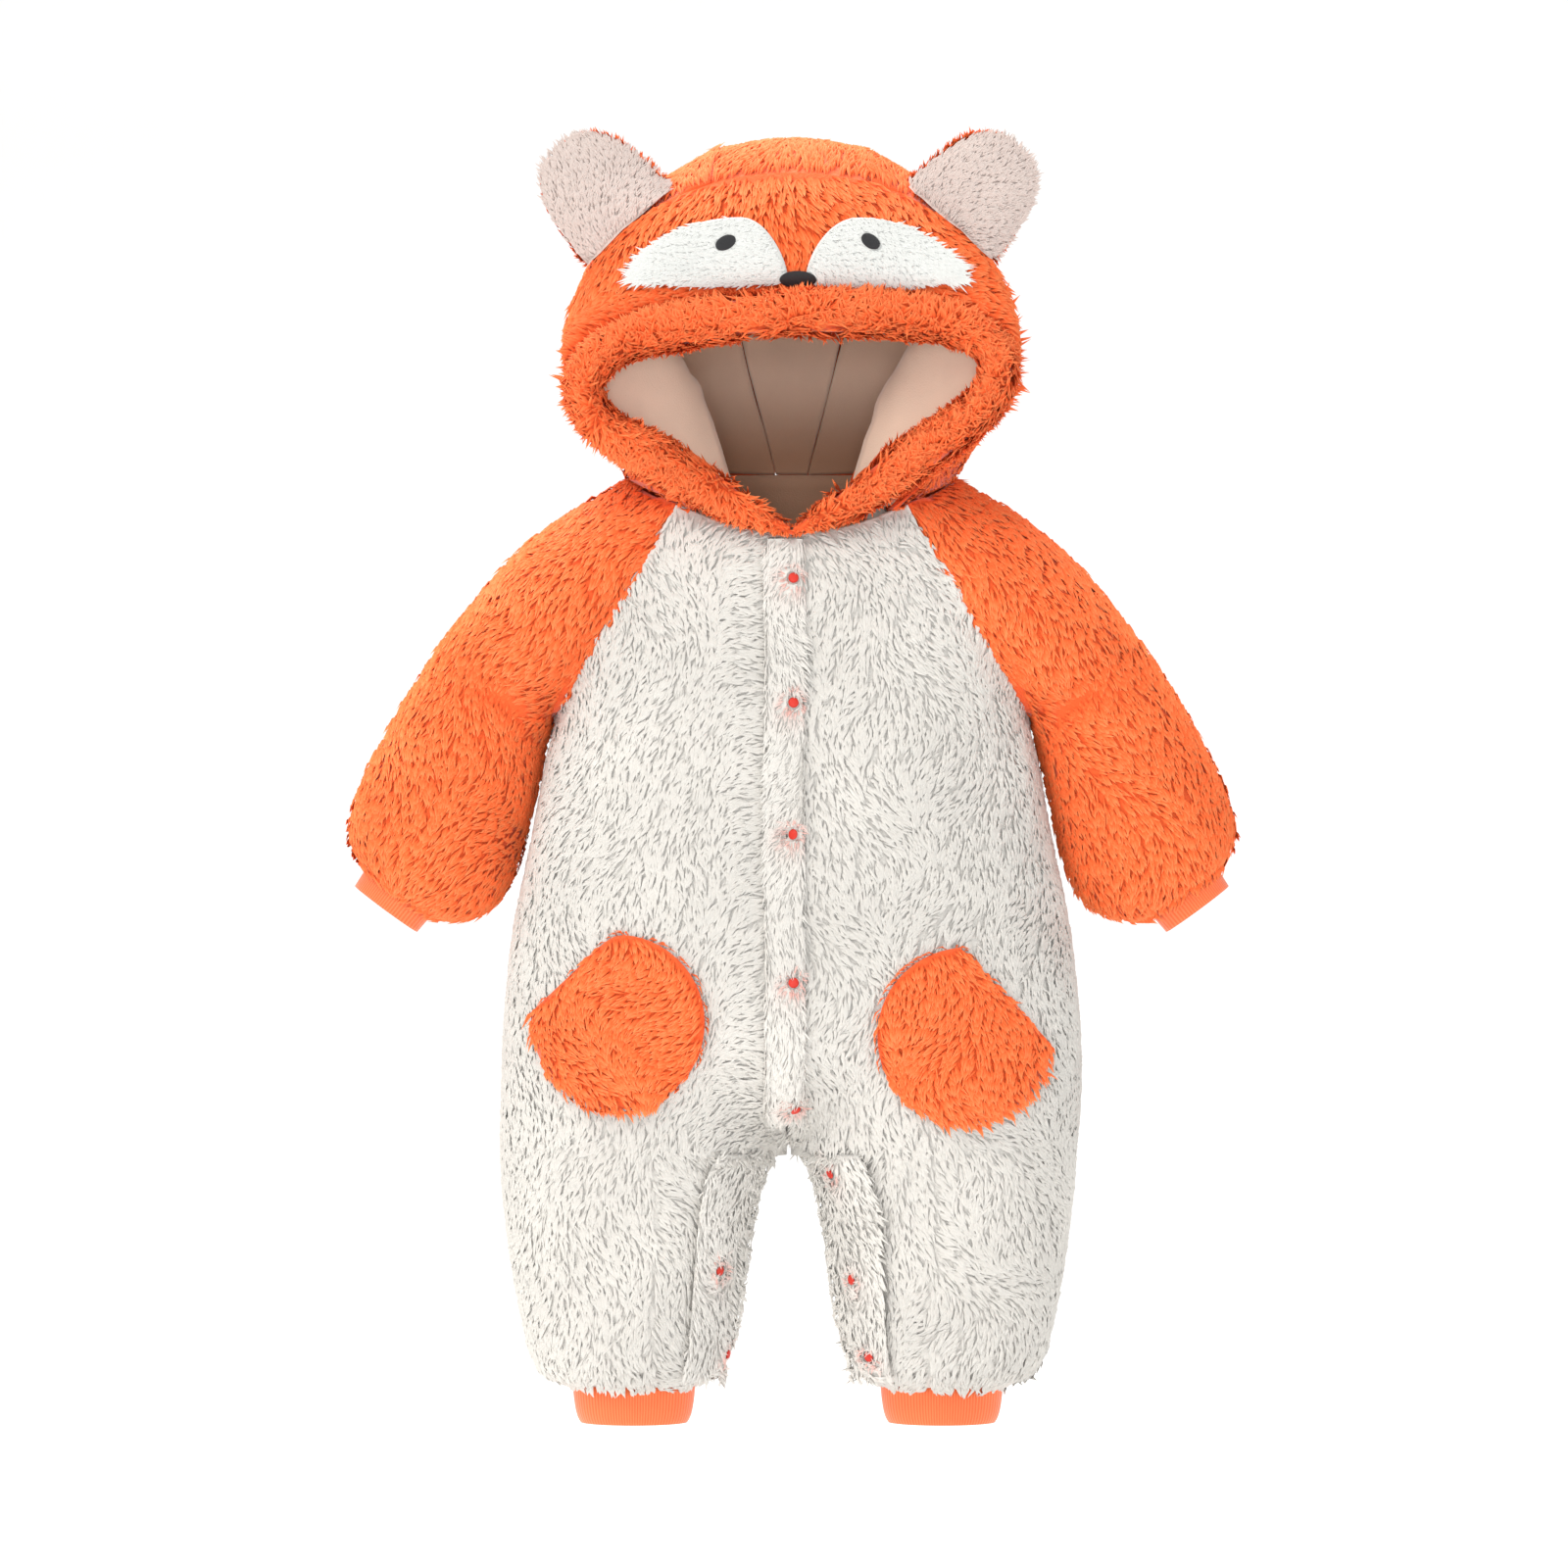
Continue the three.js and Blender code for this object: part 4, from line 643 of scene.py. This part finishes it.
def knit_material(name, colour, groove_shade):
    """Rib jersey: ribs that follow the around map, with small stitches on them, and painted shade
    in the grooves between the ribs.
    """
    material, tree, shader = shader_of(name, 0.8, 0.35)
    uv = node_in(tree, "ShaderNodeUVMap", (-1500, 0), uv_map="around")
    parts = node_in(tree, "ShaderNodeSeparateXYZ", (-1300, 0))
    tree.links.new(uv.outputs["UV"], parts.inputs["Vector"])
    turn = node_in(tree, "ShaderNodeMath", (-1100, 0), operation="MULTIPLY")
    turn.inputs[1].default_value = 2 * math.pi
    tree.links.new(parts.outputs["X"], turn.inputs[0])
    wave = node_in(tree, "ShaderNodeMath", (-950, 0), operation="COSINE")
    tree.links.new(turn.outputs["Value"], wave.inputs[0])
    height = node_in(tree, "ShaderNodeMapRange", (-800, 0))
    height.inputs["From Min"].default_value = -1
    tree.links.new(wave.outputs["Value"], height.inputs["Value"])
    # The grooves between the ribs take the darker colour: painted shade.
    blend = node_in(tree, "ShaderNodeMix", (-600, 150), data_type="RGBA")
    blend.inputs["A"].default_value = srgb(*groove_shade)
    blend.inputs["B"].default_value = srgb(*colour)
    tree.links.new(height.outputs["Result"], blend.inputs["Factor"])
    tree.links.new(patchy(tree, blend.outputs["Result"], 30, 0.95, 1.04), shader.inputs["Base Color"])
    stitches = node_in(tree, "ShaderNodeTexVoronoi", (-900, -500), voronoi_dimensions="2D")
    stitches.inputs["Scale"].default_value = 2
    tree.links.new(uv.outputs["UV"], stitches.inputs["Vector"])
    both = node_in(tree, "ShaderNodeMath", (-600, -350), operation="MULTIPLY_ADD")
    both.inputs[1].default_value = 0.3
    tree.links.new(stitches.outputs["Distance"], both.inputs[0])
    tree.links.new(height.outputs["Result"], both.inputs[2])
    bump = node_in(tree, "ShaderNodeBump", (-300, -350))
    bump.inputs["Strength"].default_value = 0.6
    bump.inputs["Distance"].default_value = 0.35 * MM
    tree.links.new(both.outputs["Value"], bump.inputs["Height"])
    tree.links.new(bump.outputs["Normal"], shader.inputs["Normal"])
    return material


cuff_knit = knit_material("cuff_knit", (255, 132, 84), (244, 106, 58))
cuffs = (
    # limb, the line through the limb, the cuff's cut
    ("ankle", (0.098, 0, -0.5), (0.098, 0, -0.6), (0.155, 0.042)),
    ("wrist", (0.23, 0, -0.22), (0.262, 0, -0.262), (0.105, 0.03)),
)
for limb, start, end, flat in cuffs:
    for word, side in SIDES:
        node = f"{limb}_cuff_{word}"
        low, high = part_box(node)
        middle = (low + high) / 2
        shift = middle.x - (start[0] + end[0]) / 2 * side
        line = [(x * side + shift * (limb == "ankle"), y, z) for x, y, z in (start, end)]
        cuff = cloth_wall(node, f"{node}_knit", away_from(line), levels=2)
        around_map(cuff, *line, RIB_PITCH)
        add_to_part(cuff, "cuff_knit", cuff_knit, node)

# Hood: a face panel in front of the seam that holds the ears, and a centre strip between two sides
# behind it, all of orange plush. The pile lies sideways on the face, and back over the crown.
hood_pile = pile_material("hood_pile", (238, 82, 32), (244, 104, 50), (251, 142, 86), 0.06)
HOOD_MIDDLE = np.array([0, 0.02, 0.08])
hood_outwards = away_from([HOOD_MIDDLE])
NECK_Z = 0.01
NEARLY_DOWN = -0.93


def over_the_crown(points):
    """Back over the crown and down behind, as if combed from the brow."""
    place = points - HOOD_MIDDLE
    return np.column_stack([0.25 * place[:, 0], place[:, 2], -place[:, 1] - 0.03])


def down_the_face(points):
    """Sideways from the middle of the face, and a little down."""
    return np.column_stack([2.2 * points[:, 0], np.zeros(len(points)), np.full(len(points), -0.1)])


hood_cut = (
    # node, cut, share of it, locks, flow
    ("hood_face", (0.32, 0.16), 0.55, 5200, down_the_face),
    ("hood_centre", (0.11, 0.32), 0.85, 4600, over_the_crown),
    ("hood_side_left", (0.25, 0.26), 0.75, 6400, over_the_crown),
    ("hood_side_right", (0.25, 0.26), 0.75, 6400, over_the_crown),
)
under_patches = hidden_under(["eye_patch_left", "eye_patch_right", "nose"], 9 * MM)


def above_the_neck(points, normals):
    """Leaves the cut lower edge bare, which would grow hair into the neck."""
    return normals[:, 2] > NEARLY_DOWN


def short_at_the_neck(points):
    """Hair is shorter next to the neck seam."""
    return 0.5 + 0.5 * ((points[:, 2] - NECK_Z) / 0.03).clip(0, 1)


for seed, (node, flat, share, count, flow) in enumerate(hood_cut, 31):
    wall = cloth_wall(node, f"{node}_cloth", hood_outwards, sink=PILE_DEPTH)
    keep = all_but(under_patches) if node == "hood_face" else above_the_neck
    pile = locks(
        f"{node}_pile", wall, hood_outwards, flow, count, seed, swirl=0.4, keep=keep,
        grow=short_at_the_neck,
    )
    add_to_part(wall, "orange_plush", orange_backing, node)
    add_to_part(pile, "orange_plush", hood_pile)

# Hood trim: a rolled band of deeper, curlier orange pile, sewn round the face opening and down to
# the neck, where its two ends meet in a V. Its locks stand up and curl every way.
trim_points = triangles_of(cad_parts["hood_trim"].data)[0]
OPENING_MIDDLE = np.array([0, -0.08, 0.045])
TRIM_STATIONS = 72
POINT_Z = -0.026


def trim_turn(points):
    """The station that each point is at, counted round the opening."""
    place = points - OPENING_MIDDLE
    return (np.arctan2(place[:, 0], place[:, 2]) / (2 * math.pi) % 1 * TRIM_STATIONS).astype(int)


turns = trim_turn(trim_points)
trim_line = np.array([trim_points[turns == k].mean(0) for k in np.unique(turns)])
trim_outwards = away_from(np.vstack([trim_line, trim_line[:1]]))


def out_of_the_opening(points):
    """Away from the middle of the opening, and a little forwards."""
    way = unit(points - OPENING_MIDDLE)
    way[:, 1] -= 0.4
    return way


def short_at_the_point(points):
    """Hair is shorter where the two ends meet, so that the opening runs down to a point."""
    away = np.hypot(points[:, 0] / 0.03, (points[:, 2] - POINT_Z) / 0.04)
    return 0.2 + 0.8 * away.clip(0, 1)


trim = cloth_wall("hood_trim", "hood_trim_cloth", trim_outwards, sink=2.6 * MM)
trim_pile = locks(
    "hood_trim_pile", trim, trim_outwards, out_of_the_opening, 12500, 41, length=10, width=2.2,
    depth=3.4, swirl=1.0, swirl_scale=0.03, stray=0.7, curl=0.35, lift=1.3, clump=0.35,
    grow=short_at_the_point,
)
add_to_part(trim, "orange_plush", orange_backing, "hood_trim")
add_to_part(trim_pile, "orange_plush", hood_pile)

# Lining: brushed beige cotton inside the hood, in a centre strip and two sides, and the top of the
# body's own lining below the back neck. It is soft, with shallow puckers along its seams. Deep
# inside, towards the neck, it is painted browner: painted shade where the hood's depth shadows it.
# The brown of the painted shade deep inside the hood, towards the neck.
PAINTED_SHADE_BROWN = (164, 126, 100)


def turn_towards(tree, tint, amount, place):
    """Turns the colour that a shader takes towards a tint, by the amount that a node puts out."""
    blend = node_in(tree, "ShaderNodeMix", place, data_type="RGBA")
    blend.inputs["B"].default_value = srgb(*tint)
    tree.links.new(amount, blend.inputs["Factor"])
    colour = tree.nodes["Principled BSDF"].inputs["Base Color"]
    tree.links.new(colour.links[0].from_socket, blend.inputs["A"])
    tree.links.new(blend.outputs["Result"], colour)


def paint_shade_inside(material):
    """Painted shade: browns a material where its place is both deep behind the opening and low."""
    tree = material.node_tree
    place = node_in(tree, "ShaderNodeTexCoord", (-900, 500))
    parts = node_in(tree, "ShaderNodeSeparateXYZ", (-700, 500))
    tree.links.new(place.outputs["Object"], parts.inputs["Vector"])
    both = node_in(tree, "ShaderNodeMath", (-300, 500), operation="MULTIPLY")
    ranges = (
        # axis, where it begins and is full, height of the node
        ("Y", -0.01, 0.05, 600),
        ("Z", 0.085, 0.02, 400),
    )
    for factor, (axis, begin, full, high) in zip(both.inputs, ranges):
        span = node_in(tree, "ShaderNodeMapRange", (-500, high), interpolation_type="SMOOTHSTEP")
        span.inputs["From Min"].default_value = begin
        span.inputs["From Max"].default_value = full
        tree.links.new(parts.outputs[axis], span.inputs["Value"])
        tree.links.new(span.outputs["Result"], factor)
    turn_towards(tree, PAINTED_SHADE_BROWN, both.outputs["Value"], (-100, 400))


lining_cotton = cloth_material("lining_cotton", (239, 212, 190), 0.9, 0.35, sheen=0.4)
# Painted shade: the lining is browned deep inside, where the hood's depth shadows it.
paint_shade_inside(lining_cotton)
LINING_SEAM_X = 0.05
NECK_SEAM_Z = 0.012
LINING_FOLDS = np.array([0.55, 0.55, 1.6])
FOLD_DEPTH = 1.3 * MM
PUCKER_DEPTH = 0.5 * MM
PUCKER_PITCH = 3.5 * MM
LEAST_SAG = 0.2 * MM
LAP = np.array([0, -2.6 * MM, 2.8 * MM])
linings = (
    # node, cut, share of it
    ("hood_lining_centre", (0.11, 0.3), 0.88),
    ("hood_lining_left", (0.25, 0.26), 0.73),
    ("hood_lining_right", (0.25, 0.26), 0.71),
    ("neck_lining", (0.11, 0.075), 0.9),
)
for seed, (node, flat, share) in enumerate(linings, 51):
    wall = cloth_wall(node, f"{node}_cloth", hood_outwards, levels=2)
    points = triangles_of(wall.data)[0]
    inwards = -hood_outwards(points)
    near_seam = np.exp(-(((np.abs(points[:, 0]) - LINING_SEAM_X) / (12 * MM)) ** 2))
    folds = FOLD_DEPTH * drift(points * LINING_FOLDS, 0.03, seed) * (1 - 0.7 * near_seam)
    waves = np.sin(points[:, 2] / PUCKER_PITCH + drift(points, 0.03, 9))
    puckers = PUCKER_DEPTH * waves * near_seam
    slack = (np.abs(points[:, 2] - NECK_SEAM_Z) / (12 * MM)).clip(0, 1)
    moved = points + inwards * ((np.abs(folds) + puckers + LEAST_SAG) * slack)[:, None]
    if node == "neck_lining":
        at_the_top = ((points[:, 2] - NECK_SEAM_Z) / (6 * MM) + 1).clip(0, 1)
        moved += at_the_top[:, None] * LAP
    wall.data.vertices.foreach_set("co", moved.astype(np.float32).ravel())
    wall.data.update()
    add_to_part(wall, "lining", lining_cotton, node)

# Face: two white patches of short pile with feathered outer tips, sewn flat on the face panel, and
# the eyes and the nose in black satin stitch.
patch_pile = pile_material("patch_pile", (210, 212, 210), (219, 221, 218), (226, 228, 225), 0.03, 0.2)
patch_cloth = cloth_material("patch_cloth", (213, 215, 212), 0.8, 0.3)
forward = away_from([(0, 0.4, 0.05)])
for word, side in SIDES:
    node = f"eye_patch_{word}"
    under_eye = hidden_under([f"eye_{word}"], 6 * MM, margin=MM)
    patch = cloth_wall(node, f"{node}_cloth", forward, sink=0.5 * MM, levels=2)

    def outwards_and_down(points):
        return np.tile([side, 0, -0.25], (len(points), 1))

    def long_at_the_tip(points):
        """Hair is longer at the patch's outer end, which it feathers."""
        return 1 + 1.6 * ((side * points[:, 0] - 0.075) / 0.022).clip(0, 1) ** 2

    pile = locks(
        f"{node}_pile", patch, forward, outwards_and_down, 4200, 61 + (side > 0), length=5, width=1.1,
        depth=0.8, swirl=0.3, stray=0.25, clump=0.45, clump_size=4, keep=all_but(under_eye),
        grow=long_at_the_tip,
    )
    add_to_part(patch, "eye_patch", patch_cloth, node)
    add_to_part(pile, "eye_patch", patch_pile)


# The distance from one wave of a wave texture to the next, in metres, where its scale is 1.
WAVE_AT_SCALE_1 = 0.314


def satin_material(name, colour, painted_highlight, thread):
    """Satin stitch: glossy threads, thread millimetres wide, laid side by side across the shape."""
    material, tree, shader = shader_of(name, 0.38, 0.1, 0.5)
    place = node_in(tree, "ShaderNodeTexCoord", (-1300, 0))
    turned = node_in(tree, "ShaderNodeMapping", (-1100, 0))
    turned.inputs["Rotation"].default_value = (0, math.radians(12), 0)
    tree.links.new(place.outputs["Object"], turned.inputs["Vector"])
    wave = node_in(tree, "ShaderNodeTexWave", (-900, 0), bands_direction="X")
    wave.inputs["Scale"].default_value = WAVE_AT_SCALE_1 / (thread * MM)
    wave.inputs["Distortion"].default_value = 0.6
    tree.links.new(turned.outputs["Vector"], wave.inputs["Vector"])
    # Each thread is lighter along its crown: a painted highlight.
    ramp = node_in(tree, "ShaderNodeValToRGB", (-600, 100))
    ramp.color_ramp.elements[0].color = srgb(*colour)
    ramp.color_ramp.elements[1].color = srgb(*painted_highlight)
    tree.links.new(wave.outputs["Fac"], ramp.inputs["Fac"])
    tree.links.new(ramp.outputs["Color"], shader.inputs["Base Color"])
    bump = node_in(tree, "ShaderNodeBump", (-300, -300))
    bump.inputs["Distance"].default_value = 0.2 * MM
    tree.links.new(wave.outputs["Fac"], bump.inputs["Height"])
    tree.links.new(bump.outputs["Normal"], shader.inputs["Normal"])
    return material


black_thread = satin_material("black_thread", (20, 20, 22), (48, 48, 52), 0.45)
for node in ("eye_left", "eye_right", "nose"):
    stitching = cloth_wall(node, f"{node}_stitching", forward, levels=2)
    add_to_part(stitching, "black_stitching", black_thread, node)

# Ears: a white short-pile front and an orange back, lightly padded and sewn into the crown seam.
# The orange pile of the back shows past the white as a rim.
ear_white = pile_material("ear_white", (200, 181, 173), (205, 189, 182), (213, 201, 195), 0.03, 0.3)
ear_cloth = cloth_material("ear_cloth", (208, 190, 182), 1.2, 0.5)
EAR_FOOT = np.array([0.09, -0.05, 0.155])
for word, side in SIDES:
    foot = EAR_FOOT * np.array([side, 1, 1])
    ear_front_out = away_from([foot + [side * 0.025, 0.3, 0.02]])
    ear_back_out = away_from([foot + [side * 0.025, -0.3, 0.02]])

    def up_the_ear(points):
        return points - foot + [0, 0, 0.01]

    def short_outside(points):
        """The orange rim shows on top and towards the crown, and hardly at the outer edge."""
        return 1.25 - 0.75 * ((side * points[:, 0] - 0.11) / 0.03).clip(0, 1)

    faces = (
        # face, out, slot, backing, pile, locks
        ("front", ear_front_out, "ear_plush", ear_cloth, ear_white, 3200),
        ("back", ear_back_out, "orange_plush", orange_backing, hood_pile, 2600),
    )
    for face, out, slot, backing, hair, count in faces:
        node = f"ear_{face}_{word}"
        ear = cloth_wall(node, f"{node}_cloth", out, sink=1.6 * MM)
        style = {"grow": short_outside, "least": -0.2} if face == "back" else {}
        pile = locks(
            f"{node}_pile", ear, out, up_the_ear, count, 71 + (side > 0) + 2 * (face == "back"),
            length=6, width=1.5, depth=1.7, swirl=0.4, clump_size=5, **style,
        )
        add_to_part(ear, slot, backing, node)
        add_to_part(pile, slot, hair)

# Patch pockets: orange plush, one sewn on each front panel. They are round below, with one straight
# slanted edge for the hand.
pocket_out = away_from([(0, 1.0, -0.33)])
for word, side in SIDES:
    node = f"pocket_{word}"
    pocket = cloth_wall(node, f"{node}_cloth", pocket_out, sink=2.4 * MM)
    pile = locks(
        f"{node}_pile", pocket, pocket_out, down_the_body, 2400, 81 + (side > 0), length=9, width=2.1,
        depth=2.5, swirl=0.5, least=-0.2,
    )
    add_to_part(pocket, "orange_plush", orange_backing, node)
    add_to_part(pile, "orange_plush", orange_pile)

# Plackets: padded bands of white plush that carry the snaps, one down the front and one along each
# inseam. Each snap lies in a dimple, and the pile spreads away from it, with the red cap's
# reflection painted pink into the hair round it.
band_out = away_from([(0, 0.5, 0.0), (0, 0.5, -0.6)])
bands = (
    # node, cut, locks, their width and depth
    ("placket", (0.024, 0.352), 3300, 1.5, 1.8),
    ("inseam_placket_left", (0.055, 0.142), 1700, 2.1, 2.5),
    ("inseam_placket_right", (0.055, 0.142), 1700, 2.1, 2.5),
)
SNAP_COUNT = 10
snap_spots = np.array([sum(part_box(f"snap_{k + 1}"), Vector()) / 2 for k in range(SNAP_COUNT)])
BARE_ROUND_SNAP = 4.4 * MM
# How far the painted reflection of a red cap reaches into the hair round it.
SNAP_REFLECTION_REACH = 3.0 * MM
SPREAD_REACH = 7 * MM
INSEAM_TOP = -0.39
# The pink of the red caps' reflection, painted into the white hair round them.
SNAP_REFLECTION_PINK = (230, 180, 170)


def to_snap(points):
    """Each point's distance to its nearest snap, and the direction away from that snap."""
    gaps = points[:, None] - snap_spots[None]
    near = np.linalg.norm(gaps, axis=2).argmin(1)
    gap = gaps[np.arange(len(points)), near]
    return np.linalg.norm(gap, axis=1), unit(gap)


def off_the_snaps(points, normals):
    """Leaves the dimples bare."""
    return to_snap(points)[0] > BARE_ROUND_SNAP


def short_near_a_snap(points):
    """Hair is shorter round the dimples, so that it doesn't cover the snaps."""
    return 0.55 + 0.45 * ((to_snap(points)[0] - 6 * MM) / (8 * MM)).clip(0, 1)


def spread_over(rim):
    """The pile's flow on a band: away from its snaps, and on the legs out over its nearest edge."""

    def flow(points):
        gap, away = to_snap(points)
        steps = rim[None] - points[:, None]
        near = np.linalg.norm(steps, axis=2).argmin(1)
        step = steps[np.arange(len(points)), near]
        at_the_edge = np.exp(-((np.linalg.norm(step, axis=1) / SPREAD_REACH) ** 2))
        at_the_edge *= points[:, 2] < INSEAM_TOP
        from_snap = 3 * away * np.exp(-((gap / SPREAD_REACH) ** 2))[:, None]
        return down_the_body(points) + from_snap + 2.4 * unit(step) * at_the_edge[:, None]

    return flow


def stain(pile):
    """Notes on each lock how strongly it takes the painted reflection of the nearest red cap."""
    feet = triangles_of(pile.data)[0][::LOCK_POINTS]
    near = np.exp(-((to_snap(feet)[0] - BARE_ROUND_SNAP) / SNAP_REFLECTION_REACH).clip(0, 9))
    loops = np.repeat(near, LOCK_FACES.size)
    values = np.column_stack([loops, loops]).astype(np.float32)
    pile.data.uv_layers.new(name="stain").data.foreach_set("uv", values.ravel())


def tinted_by_snap_reflection(material):
    """Paints the red caps' reflection into a pile's material: turns it towards the snaps' colour,
    as strongly as each lock's map says.
    """
    tree = material.node_tree
    amount = node_in(tree, "ShaderNodeUVMap", (-300, 400), uv_map="stain")
    parts = node_in(tree, "ShaderNodeSeparateXYZ", (-150, 400))
    tree.links.new(amount.outputs["UV"], parts.inputs["Vector"])
    turn_towards(tree, SNAP_REFLECTION_PINK, parts.outputs["X"], (0, 400))


band_pile = pile_material("band_pile", (221, 218, 212), (220, 217, 211), (225, 223, 218), 0.03)
tinted_by_snap_reflection(band_pile)
for seed, (node, flat, count, width, depth) in enumerate(bands, 91):
    band = cloth_wall(node, f"{node}_cloth", band_out, sink=2.2 * MM)
    _, _, centres, _, normals = triangles_of(band.data)
    rim = centres[np.abs((normals * band_out(centres)).sum(1)) < 0.3]
    pile = locks(
        f"{node}_pile", band, band_out, spread_over(rim), count, seed, length=10, width=width,
        depth=depth, swirl=0.3, keep=off_the_snaps, least=-0.3, grow=short_near_a_snap,
    )
    # Paints the red caps' reflection into the hair round each snap.
    stain(pile)
    add_to_part(band, "white_plush", white_backing, node)
    add_to_part(pile, "white_plush", band_pile)

# Snaps: moulded red caps pressed through the plackets, each at the bottom of its dimple.
snap_red = cloth_material("snap_red", (206, 58, 46), 0.6, 0.05, sheen=0.0, roughness=0.4)
for k in range(1, SNAP_COUNT + 1):
    snap = cloth_wall(f"snap_{k}", f"snap_{k}_cap", forward)
    add_to_part(snap, "snap", snap_red, f"snap_{k}")

low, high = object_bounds()
